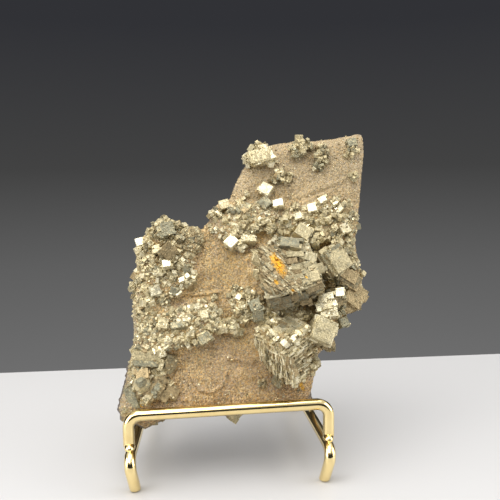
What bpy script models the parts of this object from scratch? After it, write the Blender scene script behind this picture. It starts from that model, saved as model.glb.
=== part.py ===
"""Pyrite crystals on their matrix, leaning in a small hand-bent gold wire stand.

Five solids: the specimen, which grew as one piece, and the four wires of the
stand. Lengths are in millimetres and become metres in the last step of each
builder. The stand faces -Y, +X is to its right and the floor is at z = 0.

The specimen is modelled upright in its own frame, with x to the right, z up
and y into the rock, so a height above its front datum is a negative y. Its
object is then laid back against the stand.
"""

import math
import random

import bmesh
import bpy
from mathutils import Matrix, Vector, noise

MM = 0.001

# Where the whole object sits over the origin of the part.
STAND_OFFSET = Vector((-5.4, -23.3, 0.0))

# Wire stand.
WIRE_RADIUS = 1.5
WIRE_SIDES_LEVEL = 2
WIRE_GOLD = (0.83, 0.62, 0.26)
GAP = 0.3
BELOW_FLOOR = -3.0
FOOT_HALF_WIDTH = 24.5
FOOT_FORWARD = 1.4
KNEE_HALF_WIDTH = 25.9
KNEE_FORWARD = -5.2
RAIL_HEIGHT = 10.0
RAIL_REAR_HALF_WIDTH = 23.9
RAIL_REAR = 43.4
KNEE_BEND = 2.6
LIP_HALF_WIDTH = 26.2
LIP_DEPTH = 1.2
LIP_HEIGHT_LEFT = 19.6
LIP_HEIGHT_RIGHT = 20.6
LIP_BEND = 3.2
BACK_FOOT_HALF_WIDTH = 24.5
BACK_FOOT = 50.0
BACK_TOP_HALF_WIDTH = 20.0
BACK_TOP = 30.3
BACK_HEIGHT = 49.5
BACK_BEND = 4.5

# Specimen: pose and body of the matrix slab.
LEAN_DEG = 16.0
DATUM = Vector((0.0, 0.3, 10.0))
THICK_LOW = 16.0
THICK_TOP = 10.0
FRONT_GRID = 2.8
BACK_GRID = 6.8
SIDE_CUTS = (5.5, 11.0)
FLARE_CENTRE = Vector((-8.0, 26.0))
FLARE_REACH = 175.0
HEEL = Vector((22.0, 11.0))
HEEL_REACH = 4.5
HEEL_PUSH = Vector((3.0, -4.0))
RIGHT_STRAIGHTER = 0.8
FOOT_LEVEL = 11.85
HEEL_DEEPER = 3.2
RIM_DROP = 1.4
RIM_WIDTH = 3.0
TIP_DROP = 2.2
BACK_RIM_DROP = 3.5
SIDE_ROUGHNESS = 0.6
SEED = 11
ROOT = 1.5
RIM_ROOT = -1.5
SOWN_PROUD = 0.45
SOWN_ROOT = 0.6
PLATE_TWIST = 3.0
PLATE_SHIFT = 0.5
PLATE_OVERLAP = 1.25
STUD_SMALLEST = 2.4
STUD_LARGEST = 4.0

# Front edge of the slab, clockwise from the top right corner.
OUTLINE = [
    (41.0, 85.5), (41.0, 79.0), (39.5, 71.5), (38.5, 63.0), (37.0, 55.5), (37.0, 49.0),
    (37.5, 44.5), (37.5, 39.0), (35.5, 35.5), (32.0, 33.0), (30.0, 28.0), (27.5, 25.5),
    (24.5, 23.0), (23.5, 19.0), (23.0, 16.0), (22.0, 12.5), (19.5, 9.5), (4.5, 8.8),
    (1.5, 6.5), (-2.5, 9.0), (-17.0, 8.0), (-22.0, 5.5), (-24.5, 7.0), (-28.0, 8.0),
    (-29.0, 11.0), (-28.5, 13.5), (-27.0, 18.0), (-26.5, 21.0), (-25.0, 27.0),
    (-25.0, 33.5), (-25.0, 40.5), (-24.0, 45.5), (-24.0, 51.0), (-23.0, 55.0),
    (-21.0, 57.5), (-18.0, 60.5), (-15.5, 61.0), (-12.5, 59.5), (-8.0, 59.0),
    (-6.0, 58.5), (-3.5, 61.5), (-3.5, 64.0), (-1.5, 65.5), (2.0, 67.0), (3.5, 71.0),
    (6.5, 76.0), (7.5, 79.0), (10.5, 81.5), (15.0, 82.5), (21.0, 83.5), (27.0, 83.5),
    (32.5, 84.0), (36.0, 84.8),
]

# Crusts of small crystals that stand above the bare matrix:
# centre x, z, half length, half width, turn in degrees, height.
CRUSTS = [
    (-16.0, 53.5, 9.0, 7.5, 0.0, 2.0),
    (-17.0, 45.0, 9.0, 5.5, 10.0, 1.7),
    (-20.0, 37.0, 5.5, 8.0, 0.0, 1.3),
    (-13.0, 31.5, 12.5, 5.5, 20.0, 2.4),
    (-21.5, 20.0, 5.0, 8.5, 0.0, 1.3),
    (6.0, 60.0, 10.0, 4.5, 15.0, 1.5),
    (26.0, 59.0, 13.0, 5.5, 0.0, 1.8),
    (33.0, 43.0, 5.0, 12.0, 0.0, 1.6),
    (17.0, 46.5, 10.0, 8.0, -35.0, 2.0),
    (16.0, 33.5, 7.0, 3.5, 0.0, 1.6),
    (5.5, 37.5, 4.5, 5.0, 0.0, 1.0),
]

# Single crystals: x, z, height of the front face above the datum, width,
# height, then spin in the plane, nod upward and turn to the right in degrees.
CRYSTALS = [
    # Right shoulder and the cubes beside the two stepped blocks.
    (30.0, 48.3, 6.5, 6.0, 6.4, 17, 8, 10), (33.8, 50.6, 3.0, 3.0, 3.2, 20, 0, 25),
    (34.4, 45.0, 3.4, 4.2, 4.6, 38, -20, 20), (35.6, 38.8, 2.2, 5.2, 6.2, 12, 5, 12),
    (33.0, 41.2, 3.0, 3.4, 3.0, 40, -25, 5), (31.0, 35.4, 2.4, 4.0, 3.6, 15, 0, 0),
    (32.0, 31.8, 0.8, 2.6, 2.6, 20, 10, 15), (35.4, 47.2, 2.2, 3.0, 3.4, 30, 0, 20),
    (25.2, 29.6, 7.0, 6.0, 6.0, -26, 14, 4), (27.0, 25.4, 3.8, 4.6, 3.6, -30, -15, 10),
    (30.4, 39.8, 3.6, 2.4, 2.4, 2, 10, -10), (28.2, 38.6, 3.8, 2.6, 2.4, 14, 0, -6),
    (26.4, 37.4, 4.2, 3.0, 2.8, -8, 8, -10), (25.4, 35.0, 4.0, 2.8, 2.8, 18, 15, 0),
    (27.4, 34.2, 4.2, 3.0, 2.6, -12, 5, 8), (29.4, 35.8, 3.4, 2.6, 2.8, 25, -5, 10),
    # Cubes round the lower stepped block.
    (9.4, 33.4, 2.6, 3.0, 3.0, 30, 8, -14), (19.8, 34.0, 2.8, 3.2, 3.2, 22, 10, 6),
    (8.6, 16.0, 1.6, 2.4, 2.2, 20, 5, -8), (18.8, 14.6, 1.8, 3.6, 3.0, 35, 10, 8),
    # Small groups left of the blocks.
    (7.6, 37.0, 2.8, 3.0, 3.0, 20, 10, -12), (8.4, 34.2, 2.8, 2.8, 3.2, 5, -5, 0),
    (5.2, 40.4, 2.6, 2.6, 2.4, 40, 10, -10), (6.6, 39.4, 2.4, 2.0, 2.0, 10, 20, 10),
    (4.4, 36.8, 2.2, 2.4, 2.4, 28, 10, -5), (5.4, 34.4, 1.8, 2.0, 2.0, 50, 0, 0),
    (-3.2, 39.4, 1.4, 1.8, 2.0, 15, 10, 0), (2.4, 42.0, 1.0, 1.8, 1.6, 30, 10, 0),
    # Long lump below the second lobe, and its tip cube.
    (-0.4, 32.2, 2.6, 3.0, 2.6, -20, 10, -10), (1.6, 31.2, 3.0, 3.2, 2.8, -30, 5, 5),
    (3.4, 30.2, 2.4, 2.6, 2.4, -10, 10, 15), (-5.8, 28.8, 4.0, 3.2, 2.4, 32, 12, 8),
    (-8.2, 28.2, 3.4, 2.2, 2.4, 20, 0, -8), (-3.0, 31.6, 3.2, 1.8, 1.8, 40, 15, 0),
    # Second lobe.
    (-16.8, 32.9, 3.6, 2.6, 2.6, -12, 10, -5), (-13.0, 32.4, 3.6, 3.6, 1.8, 8, 25, 0),
    (-10.4, 33.4, 3.6, 3.0, 2.6, 35, 5, 10), (-6.0, 35.0, 3.2, 2.2, 2.2, 12, 12, 0),
    (-2.8, 35.8, 2.8, 2.2, 2.4, 45, 0, 5), (-12.4, 28.8, 4.0, 2.4, 2.2, 22, 20, -6),
    (-15.6, 28.4, 3.6, 2.2, 2.2, 52, 10, 4), (-19.2, 29.2, 3.0, 2.4, 2.4, 15, 5, -14),
    (-9.4, 30.6, 4.2, 2.0, 2.2, -22, 15, 12), (-18.6, 26.2, 2.8, 2.2, 2.0, 30, 25, -10),
    (-21.8, 32.6, 2.2, 2.4, 2.4, 42, 0, -20), (-14.2, 35.6, 3.0, 2.2, 2.0, 5, 20, 0),
    # Lower left: large flat cubes, the blunt knob and the crossing plates.
    (-21.2, 23.2, 2.8, 7.0, 4.8, -3, 8, -8), (-15.0, 22.4, 3.2, 3.4, 3.8, -12, 0, 10),
    (-17.2, 24.8, 2.8, 2.6, 2.4, 20, 15, 0), (-22.6, 17.4, 3.6, 3.4, 3.4, 22, -4, -8),
    (-22.6, 17.4, 3.2, 4.2, 4.2, 67, 2, -4), (-20.2, 15.4, 2.4, 3.0, 6.4, -38, 12, -18),
    (-18.0, 15.2, 2.0, 3.2, 5.0, -30, 20, 14), (-15.4, 15.0, 1.8, 3.4, 4.2, -55, 10, 10),
    (-17.6, 18.6, 1.6, 3.0, 2.6, 10, 15, 5), (-25.6, 14.6, 1.2, 4.0, 6.2, 14, 0, -26),
    (-26.8, 10.4, -0.6, 3.6, 4.4, -25, -12, -20), (-13.2, 14.2, 1.2, 2.2, 2.4, 35, 10, 0),
    (-24.4, 21.0, 1.8, 2.6, 4.0, 6, 0, -30),
    # Hanging tips under the front wire.
    (-21.4, 7.4, -2.4, 5.0, 3.2, 30, -20, 0), (-18.6, 8.2, -2.2, 4.4, 2.6, 18, -15, 8),
    (1.6, 8.6, -1.6, 3.4, 3.4, 47, -14, 6),
    # Upper left lobe: the big brown cube stands corner up.
    (-14.9, 51.2, 5.4, 4.6, 4.6, 45, -30, 0), (-15.0, 58.0, 3.6, 3.6, 3.8, 14, 8, 6),
    (-17.8, 59.4, 2.8, 2.8, 2.8, 38, 10, -12), (-20.0, 57.2, 2.4, 2.8, 2.6, 20, 5, -20),
    (-16.0, 61.0, 1.2, 2.6, 2.4, 30, 15, 0), (-12.6, 59.2, 2.0, 2.6, 2.6, 50, 5, 10),
    (-22.8, 54.8, 2.4, 2.2, 2.4, 12, 6, -14), (-20.6, 54.0, 3.0, 2.6, 2.6, 35, 0, -8),
    (-22.8, 51.4, 2.2, 2.6, 2.8, 25, -15, -18), (-18.4, 52.6, 3.4, 2.2, 2.4, 10, 15, -10),
    (-11.8, 56.0, 3.2, 2.6, 2.6, 28, 12, 8), (-19.4, 50.4, 3.2, 2.2, 2.2, 48, 10, 0),
    # Left band and its spur.
    (-15.8, 49.2, 3.8, 2.8, 2.4, 4, 10, -8), (-13.4, 49.8, 3.4, 2.2, 1.8, 24, 20, 6),
    (-11.6, 48.4, 3.0, 2.4, 2.4, 36, 10, 10), (-11.2, 44.6, 3.0, 2.6, 2.2, 16, 14, 12),
    (-14.4, 45.6, 3.4, 2.2, 2.2, 44, 8, 0), (-18.8, 41.6, 3.0, 2.8, 2.6, 18, 0, 6),
    (-21.2, 42.4, 3.2, 2.4, 2.6, -10, 10, -6), (-21.4, 39.2, 2.8, 2.8, 2.6, 14, 18, -10),
    (-21.0, 47.4, 2.8, 2.6, 2.2, 30, 5, -12), (-18.0, 46.4, 3.2, 2.4, 2.4, 8, 22, 0),
    (-23.8, 44.4, 1.8, 2.6, 2.4, 20, -10, -25), (-25.4, 42.6, 0.4, 3.0, 2.2, 24, 6, -20),
    (-23.0, 49.0, 2.0, 2.4, 2.4, 40, 5, -18), (-16.6, 38.8, 2.4, 2.4, 2.4, 26, -5, 8),
    (-23.4, 36.6, 1.8, 2.4, 2.4, 12, 5, -20),
    # Top edge of the slab.
    (11.2, 78.8, 2.4, 5.4, 3.6, 24, 8, -6), (13.6, 76.8, 2.0, 2.4, 2.6, 42, 14, 10),
    (7.2, 78.0, 1.8, 3.0, 2.8, 34, 10, -14), (10.2, 81.6, 0.8, 3.0, 3.0, 40, 20, 0),
    (21.6, 82.0, 2.4, 3.2, 3.4, 18, 14, -4), (19.8, 80.4, 2.2, 2.2, 2.6, 40, 5, -16),
    (23.0, 79.8, 2.6, 2.6, 2.8, 10, -4, 12), (21.0, 78.6, 2.0, 2.6, 2.2, 30, -18, 0),
    (24.8, 81.4, 1.8, 2.0, 2.2, 50, 0, 14), (28.6, 80.6, 1.6, 2.4, 2.8, 36, 16, 0),
    (27.0, 78.0, 2.0, 2.4, 3.8, -12, 4, -14), (29.8, 79.2, 1.6, 1.8, 2.0, 22, -8, 14),
    (26.8, 74.8, 1.6, 2.8, 2.0, 12, -12, 0), (29.2, 76.8, 1.4, 1.6, 1.8, 44, 0, 10),
    (37.4, 79.8, 1.6, 2.8, 2.8, 28, 5, 10), (37.0, 82.2, 1.4, 2.6, 2.4, 12, 15, 4),
    (35.2, 78.4, 0.9, 1.6, 1.4, 10, 0, 0), (37.4, 72.6, 1.0, 2.4, 2.4, 34, 5, 14),
    # Groups on the bare upper face.
    (15.8, 74.0, 2.2, 2.6, 2.8, 14, 10, -4), (14.4, 71.4, 2.0, 2.4, 2.2, 36, -10, -12),
    (17.4, 71.6, 2.0, 3.0, 2.0, -24, 12, 10), (19.2, 73.0, 1.4, 1.6, 1.6, 48, 0, 12),
    (11.7, 68.9, 2.2, 3.2, 3.0, -34, 12, -6), (6.7, 67.9, 1.4, 1.8, 1.8, 22, 8, 0),
    # Diagonal band.
    (11.4, 65.0, 2.4, 3.0, 2.8, 38, 10, -8), (14.8, 64.8, 2.6, 3.0, 2.2, 8, 14, 6),
    (19.6, 64.0, 1.8, 1.8, 1.8, 12, 0, 0), (24.2, 63.3, 2.6, 2.4, 2.6, 10, 8, -6),
    (27.4, 65.6, 2.2, 2.4, 2.0, 26, 10, 4), (30.8, 65.0, 2.0, 1.8, 1.8, 34, 5, 8),
    (31.6, 66.2, 2.0, 1.8, 3.0, -22, 10, 10), (34.6, 64.4, 2.4, 2.6, 2.2, 32, 0, 10),
    (36.2, 61.8, 1.8, 2.2, 2.2, 18, 5, 18), (21.4, 56.4, 4.6, 4.0, 3.6, -34, 12, 0),
    (24.8, 54.0, 4.0, 2.8, 2.6, -26, 16, 8), (33.2, 57.2, 3.2, 2.6, 2.6, 24, 10, 12),
    (30.2, 57.4, 3.2, 2.0, 2.0, 40, 8, 0), (34.8, 53.8, 2.6, 2.4, 2.2, 36, -6, 16),
    (12.5, 57.6, 3.4, 2.4, 2.6, 4, 10, -4), (9.0, 58.2, 2.8, 2.2, 3.0, -32, 0, -10),
    (5.4, 59.6, 2.6, 2.8, 2.4, 42, 10, -8), (16.6, 60.2, 3.0, 2.2, 2.2, 30, 12, 0),
    (20.4, 61.0, 3.0, 2.2, 2.0, 16, 16, 6), (28.0, 60.6, 3.0, 2.6, 2.4, -18, 10, 0),
    (31.6, 60.8, 2.8, 2.2, 2.2, 46, 6, 8), (24.4, 59.6, 3.2, 2.2, 2.4, 28, 14, -4),
    (27.4, 55.2, 3.6, 2.4, 2.4, 12, 10, 10), (30.6, 53.6, 3.4, 2.4, 2.2, 38, 5, 8),
    # Bright facets on the left rim of the band.
    (1.8, 54.4, 2.6, 3.4, 3.2, 44, 4, -6), (6.7, 55.2, 3.0, 3.8, 2.0, -2, 18, 4),
    (3.0, 57.0, 2.4, 2.6, 2.4, 20, 10, 0), (4.8, 53.0, 2.2, 2.2, 2.0, 46, 6, 8),
    # Steps down the notch on the left.
    (-2.6, 62.4, 1.6, 2.8, 2.6, 26, 10, -14), (0.2, 64.6, 1.6, 2.6, 2.4, 14, 14, -8),
    (2.2, 63.2, 1.8, 2.4, 2.2, 40, 10, 4), (-0.4, 61.4, 1.4, 2.2, 2.0, 34, 5, 0),
    (4.6, 65.6, 1.4, 2.0, 2.0, 22, 10, 0),
]

# Two blocks built of thin steps, like a pile of plates: centre x, z and height
# of the top plate, plate width and height, number of plates, thickness of one,
# spread of each lower plate, then spin, nod and turn in degrees, and how many
# cubes stud the top plate.
STEPPED_BLOCKS = [
    (16.6, 45.9, 8.5, 13.4, 11.4, 8, 1.2, 0.25, 14, 20, -6, 7),
    (14.9, 29.4, 5.2, 10.8, 10.8, 8, 1.36, 0.1, 42, 58, 0, 8),
]

# Druse cushion on the upper left lobe: x, z, height, half widths, half depth.
CUSHIONS = [
    (-8.9, 55.6, 0.6, 3.6, 3.4, 3.0),
    (-9.2, 53.0, 0.4, 3.0, 1.9, 3.0),
]

# Patches of small cubes sown over the crusts:
# centre x, z, half length, half width, turn, count, smallest and largest edge.
SOWN = [
    (-16.5, 46.0, 7.5, 7.0, 0.0, 16, 1.4, 2.2),
    (-13.0, 31.0, 11.0, 4.5, 20.0, 16, 1.3, 2.2),
    (22.0, 60.0, 14.0, 4.0, 0.0, 14, 1.4, 2.4),
    (33.0, 55.0, 3.0, 5.0, 0.0, 4, 1.5, 2.2),
]


def clear_scene():
    """Remove every object of the default scene."""
    for obj in list(bpy.data.objects):
        bpy.data.objects.remove(obj, do_unlink=True)


def make_material(name, colour, roughness, metallic):
    """Plain principled material for one sub-part."""
    material = bpy.data.materials.new(name)
    material.use_nodes = True
    shader = material.node_tree.nodes["Principled BSDF"]
    shader.inputs["Base Color"].default_value = (*colour, 1.0)
    shader.inputs["Roughness"].default_value = roughness
    shader.inputs["Metallic"].default_value = metallic
    return material


def link(obj, parent=None):
    """Put an object in the scene, under its parent."""
    bpy.context.scene.collection.objects.link(obj)
    obj.parent = parent
    return obj


def evaluated_copy(obj):
    """Mesh of an object with its modifiers and bevels worked out."""
    bpy.context.view_layer.update()
    depsgraph = bpy.context.evaluated_depsgraph_get()
    return bpy.data.meshes.new_from_object(obj.evaluated_get(depsgraph))


# ---------------------------------------------------------------- the stand


def rounded_path(corners, bend_radius, steps):
    """Polyline through the corners with every inner one turned into an arc."""
    path = [corners[0]]
    for before, corner, after in zip(corners, corners[1:], corners[2:]):
        to_before = (before - corner).normalized()
        to_after = (after - corner).normalized()
        half = to_before.angle(to_after) / 2.0
        centre = corner + (to_before + to_after).normalized() * (bend_radius / math.sin(half))
        start = corner + to_before * (bend_radius / math.tan(half)) - centre
        end = corner + to_after * (bend_radius / math.tan(half)) - centre
        axis = start.cross(end).normalized()
        sweep = start.angle(end)
        for step in range(steps + 1):
            path.append(centre + Matrix.Rotation(sweep * step / steps, 3, axis) @ start)
    path.append(corners[-1])
    return path


def bent_wire(name, corners, bend_radius, material, parent, steps=5):
    """Round wire along a bent path, cut flat where it meets the floor."""
    path = rounded_path([Vector(corner) for corner in corners], bend_radius, steps)
    curve = bpy.data.curves.new(name + "_path", "CURVE")
    curve.dimensions = "3D"
    curve.bevel_depth = WIRE_RADIUS * MM
    curve.bevel_resolution = WIRE_SIDES_LEVEL
    curve.use_fill_caps = True
    spline = curve.splines.new("POLY")
    spline.points.add(len(path) - 1)
    for point, place in zip(spline.points, path):
        point.co = (*(place * MM), 1.0)
    guide = link(bpy.data.objects.new(name + "_path", curve))
    mesh = evaluated_copy(guide)
    bpy.data.objects.remove(guide, do_unlink=True)
    bm = bmesh.new()
    bm.from_mesh(mesh)
    bmesh.ops.remove_doubles(bm, verts=bm.verts, dist=0.00001)
    bmesh.ops.bisect_plane(
        bm, geom=bm.verts[:] + bm.edges[:] + bm.faces[:], dist=0.000001,
        plane_co=(0, 0, 0), plane_no=(0, 0, -1), clear_outer=True)
    bmesh.ops.holes_fill(bm, edges=[edge for edge in bm.edges if edge.is_boundary])
    bmesh.ops.recalc_face_normals(bm, faces=bm.faces)
    bm.to_mesh(mesh)
    bm.free()
    mesh.shade_smooth()
    mesh.set_sharp_from_angle(angle=math.radians(50))
    mesh.materials.clear()
    mesh.materials.append(material)
    return link(bpy.data.objects.new(name, mesh), parent)


def build_stand(parent):
    """Front lip, two side rails with the front feet, and the back rest."""
    lip_foot = RAIL_HEIGHT + WIRE_RADIUS + GAP
    bent_wire(
        "front_rail",
        [(-LIP_HALF_WIDTH, LIP_DEPTH, lip_foot), (-LIP_HALF_WIDTH, LIP_DEPTH, LIP_HEIGHT_LEFT),
         (LIP_HALF_WIDTH, LIP_DEPTH, LIP_HEIGHT_RIGHT), (LIP_HALF_WIDTH, LIP_DEPTH, lip_foot)],
        LIP_BEND, make_material("gold_front_rail", WIRE_GOLD, 0.14, 1.0), parent)
    for name, side in (("side_rail_left", -1.0), ("side_rail_right", 1.0)):
        bent_wire(
            name,
            [(side * FOOT_HALF_WIDTH, FOOT_FORWARD, BELOW_FLOOR),
             (side * KNEE_HALF_WIDTH, KNEE_FORWARD, RAIL_HEIGHT),
             (side * RAIL_REAR_HALF_WIDTH, RAIL_REAR, RAIL_HEIGHT)],
            KNEE_BEND, make_material("gold_" + name, WIRE_GOLD, 0.14, 1.0), parent, steps=7)
    drop = BELOW_FLOOR / BACK_HEIGHT
    low_width = BACK_FOOT_HALF_WIDTH - (BACK_FOOT_HALF_WIDTH - BACK_TOP_HALF_WIDTH) * drop
    low_depth = BACK_FOOT - (BACK_FOOT - BACK_TOP) * drop
    bent_wire(
        "back_rest",
        [(-low_width, low_depth, BELOW_FLOOR), (-BACK_TOP_HALF_WIDTH, BACK_TOP, BACK_HEIGHT),
         (BACK_TOP_HALF_WIDTH, BACK_TOP, BACK_HEIGHT), (low_width, low_depth, BELOW_FLOOR)],
        BACK_BEND, make_material("gold_back_rest", WIRE_GOLD, 0.14, 1.0), parent)


# ------------------------------------------------------------- the specimen


def smooth(value, low, high):
    """Ease from 0 at low to 1 at high."""
    t = min(max((value - low) / (high - low), 0.0), 1.0)
    return t * t * (3.0 - 2.0 * t)


def rim_distance(x, z):
    """Distance in the plane from a point to the front edge of the slab."""
    place = Vector((x, z))
    nearest = 1000.0
    for index, start in enumerate(OUTLINE):
        a = Vector(start)
        b = Vector(OUTLINE[(index + 1) % len(OUTLINE)])
        t = min(max((place - a).dot(b - a) / (b - a).length_squared, 0.0), 1.0)
        nearest = min(nearest, (place - a.lerp(b, t)).length)
    return nearest


def patch_radius(x, z, patch_x, patch_z, half_length, half_width, turn):
    """Distance from a patch's centre as a share of its elliptic edge."""
    angle = math.radians(turn)
    dx = x - patch_x
    dz = z - patch_z
    along = dx * math.cos(angle) + dz * math.sin(angle)
    across = dz * math.cos(angle) - dx * math.sin(angle)
    return math.hypot(along / half_length, across / half_width)


def rough(x, z, scale, offset=0.0):
    """Smooth seeded unevenness between about -1 and 1."""
    return noise.noise(Vector((x / scale, z / scale, offset)))


def front_height(x, z):
    """Height of the rock's front above the datum, without its crystals."""
    height = 0.8 * rough(x, z, 13.0) + 0.5 * rough(x, z, 4.5, 7.0)
    crust = 0.0
    for cx, cz, half_length, half_width, turn, rise in CRUSTS:
        share = patch_radius(x, z, cx, cz, half_length, half_width, turn)
        share += 0.18 * rough(x, z, 3.0, 3.0)
        crust = max(crust, rise * (1.0 - smooth(share, 0.85, 1.1)))
    height += crust
    near_lip = 1.0 - smooth(z, 12.0, 17.0)
    height = height * (1.0 - near_lip) + min(height, 0.1) * near_lip
    height -= TIP_DROP * (1.0 - smooth(z, 4.5, 9.5))
    return height - RIM_DROP * (1.0 - smooth(rim_distance(x, z), 0.0, RIM_WIDTH))


def back_depth(x, z):
    """Depth of the rock's back below the datum."""
    depth = THICK_LOW + (THICK_TOP - THICK_LOW) * smooth(z, 46.0, 86.0)
    heel = math.exp(-((x - 20.0) / 8.0) ** 2 - ((z - 9.0) / 8.0) ** 2)
    depth += HEEL_DEEPER * heel + 0.9 * rough(x, z, 9.0, 21.0)
    rim = 1.0 - smooth(rim_distance(x, z), 0.0, 5.0)
    return depth - BACK_RIM_DROP * rim * smooth(z, 14.0, 30.0)


def flared(x, z, depth):
    """Side of the slab at a depth: it spreads, and its foot rests on the rails."""
    strength = 0.35 + 0.65 * (1.0 - smooth(z, 14.0, 40.0))
    strength *= 1.0 - RIGHT_STRAIGHTER * smooth(x, 0.0, 15.0) * (1.0 - smooth(z, 24.0, 34.0))
    scale = 1.0 + strength * depth / FLARE_REACH
    spread = FLARE_CENTRE + (Vector((x, z)) - FLARE_CENTRE) * scale
    heel = math.exp(-((Vector((x, z)) - HEEL).length / HEEL_REACH) ** 2)
    spread += HEEL_PUSH * heel * (depth / THICK_LOW) ** 3
    lean = math.radians(LEAN_DEG)
    foot = (FOOT_LEVEL - DATUM.z + depth * math.sin(lean)) / math.cos(lean)
    return spread.x, max(spread.y, foot)


def cut_across(bm, faces, axis, spacing, low, high):
    """Split faces with parallel planes across one axis."""
    position = low + spacing / 2.0
    live = list(faces)
    while position < high:
        edges = {edge for face in live for edge in face.edges}
        verts = {vert for face in live for vert in face.verts}
        point = Vector((0, 0, 0))
        point[axis] = position
        normal = Vector((0, 0, 0))
        normal[axis] = 1.0
        result = bmesh.ops.bisect_plane(
            bm, geom=list(verts) + list(edges) + live, dist=0.02,
            plane_co=point, plane_no=normal)
        live = [item for item in result["geom"] if isinstance(item, bmesh.types.BMFace)]
        position += spacing
    return live


def build_slab():
    """Rock slab: the outline extruded, cut into facets and made uneven."""
    bm = bmesh.new()
    rim = [bm.verts.new((x, 0.0, z)) for x, z in OUTLINE]
    front = bm.faces.new(rim)
    grown = bmesh.ops.extrude_face_region(bm, geom=[front])
    back_verts = [item for item in grown["geom"] if isinstance(item, bmesh.types.BMVert)]
    bmesh.ops.translate(bm, verts=back_verts, vec=(0.0, THICK_LOW, 0.0))
    bmesh.ops.recalc_face_normals(bm, faces=bm.faces)
    low_x, high_x = min(p[0] for p in OUTLINE), max(p[0] for p in OUTLINE)
    low_z, high_z = min(p[1] for p in OUTLINE), max(p[1] for p in OUTLINE)
    for facing, grid in ((-1.0, FRONT_GRID), (1.0, BACK_GRID)):
        faces = [face for face in bm.faces if face.normal.y * facing > 0.9]
        faces = cut_across(bm, faces, 0, grid, low_x, high_x)
        cut_across(bm, faces, 2, grid, low_z, high_z)
    for depth in SIDE_CUTS:
        bmesh.ops.bisect_plane(
            bm, geom=bm.verts[:] + bm.edges[:] + bm.faces[:], dist=0.001,
            plane_co=(0, depth, 0), plane_no=(0, 1, 0))
    bmesh.ops.triangulate(bm, faces=bm.faces)
    bm.normal_update()
    for vert in bm.verts:
        x, y, z = vert.co
        if y < 0.001:
            vert.co.y = -front_height(x, z)
            continue
        if y > THICK_LOW - 0.001:
            depth = back_depth(x, z)
        else:
            surface = -front_height(x, z)
            depth = surface + (back_depth(x, z) - surface) * y / THICK_LOW
            outward = Vector((vert.normal.x, 0.0, vert.normal.z))
            push = SIDE_ROUGHNESS * noise.noise(vert.co / 5.0)
            x += outward.x * push
            z += outward.z * push
        x, z = flared(x, z, depth)
        vert.co = (x, depth, z)
    return bm


def turned(spin, nod, turn):
    """Rotation of a crystal whose face looks along -Y when unturned."""
    return (Matrix.Rotation(math.radians(turn), 4, "Z")
            @ Matrix.Rotation(math.radians(-nod), 4, "X")
            @ Matrix.Rotation(math.radians(-spin), 4, "Y"))


def add_box(bm, face_centre, size, rotation):
    """Closed box whose front face is centred on a point."""
    width, depth, height = size
    place = (Matrix.Translation(face_centre) @ rotation
             @ Matrix.Translation((0.0, depth / 2.0, 0.0))
             @ Matrix.Diagonal((width, depth, height, 1.0)))
    bmesh.ops.create_cube(bm, size=1.0, matrix=place)


def add_crystals(bm):
    """Every crystal set by hand, rooted in the rock below it."""
    for x, z, rise, width, height, spin, nod, turn in CRYSTALS:
        root = front_height(x, z) if rim_distance(x, z) > 0.5 else RIM_ROOT
        depth = max(width, height, rise - root + ROOT)
        add_box(bm, Vector((x, -rise, z)), (width, depth, height), turned(spin, nod, turn))


def add_sown(bm, chance):
    """Small cubes sown over the crusts with a fixed seed."""
    for cx, cz, half_length, half_width, turn, count, smallest, largest in SOWN:
        angle = math.radians(turn)
        for _ in range(count):
            reach = math.sqrt(chance.random())
            around = chance.uniform(0.0, 2.0 * math.pi)
            along = reach * math.cos(around) * half_length
            across = reach * math.sin(around) * half_width
            x = cx + along * math.cos(angle) - across * math.sin(angle)
            z = cz + along * math.sin(angle) + across * math.cos(angle)
            edge = chance.uniform(smallest, largest)
            rotation = turned(chance.uniform(0, 90), chance.uniform(-10, 35), chance.uniform(-25, 25))
            rise = front_height(x, z) + SOWN_PROUD * edge
            add_box(bm, Vector((x, -rise, z)), (edge, edge + SOWN_ROOT, edge), rotation)


def add_stepped_block(bm, block, chance):
    """Pile of plates, each a little wider than the one above it, with a studded top."""
    x, z, rise, width, height, count, thickness, spread, spin, nod, turn, studs = block
    top = Vector((x, -rise, z))
    for level in range(count):
        rotation = turned(spin + chance.uniform(-PLATE_TWIST, PLATE_TWIST), nod, turn)
        inward = rotation @ Vector((0.0, 1.0, 0.0))
        sideways = rotation @ Vector((chance.uniform(-PLATE_SHIFT, PLATE_SHIFT), 0.0,
                                      chance.uniform(-PLATE_SHIFT, PLATE_SHIFT)))
        centre = top + inward * (level * thickness) + sideways
        size = (width + spread * level, thickness * PLATE_OVERLAP, height + spread * level)
        add_box(bm, centre, size, rotation)
    for _ in range(studs):
        rotation = turned(spin + chance.uniform(-PLATE_TWIST, PLATE_TWIST), nod, turn)
        edge = chance.uniform(STUD_SMALLEST, STUD_LARGEST)
        across = chance.uniform(-0.5, 0.5) * (width - edge)
        along = chance.uniform(-0.5, 0.5) * (height - edge)
        place = top + rotation @ Vector((across, -chance.uniform(0.3, 1.0), along))
        add_box(bm, place, (edge, edge, edge), rotation)


def add_cushion(bm, cushion):
    """Rounded lump of fine crystals."""
    x, z, rise, half_width, half_height, half_depth = cushion
    lump = bmesh.ops.create_icosphere(bm, subdivisions=2, radius=1.0)
    for vert in lump["verts"]:
        swell = 1.0 + 0.10 * noise.noise(vert.co * 3.0)
        vert.co = Vector((x + vert.co.x * half_width * swell, -rise + vert.co.y * half_depth * swell,
                          z + vert.co.z * half_height * swell))


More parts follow.
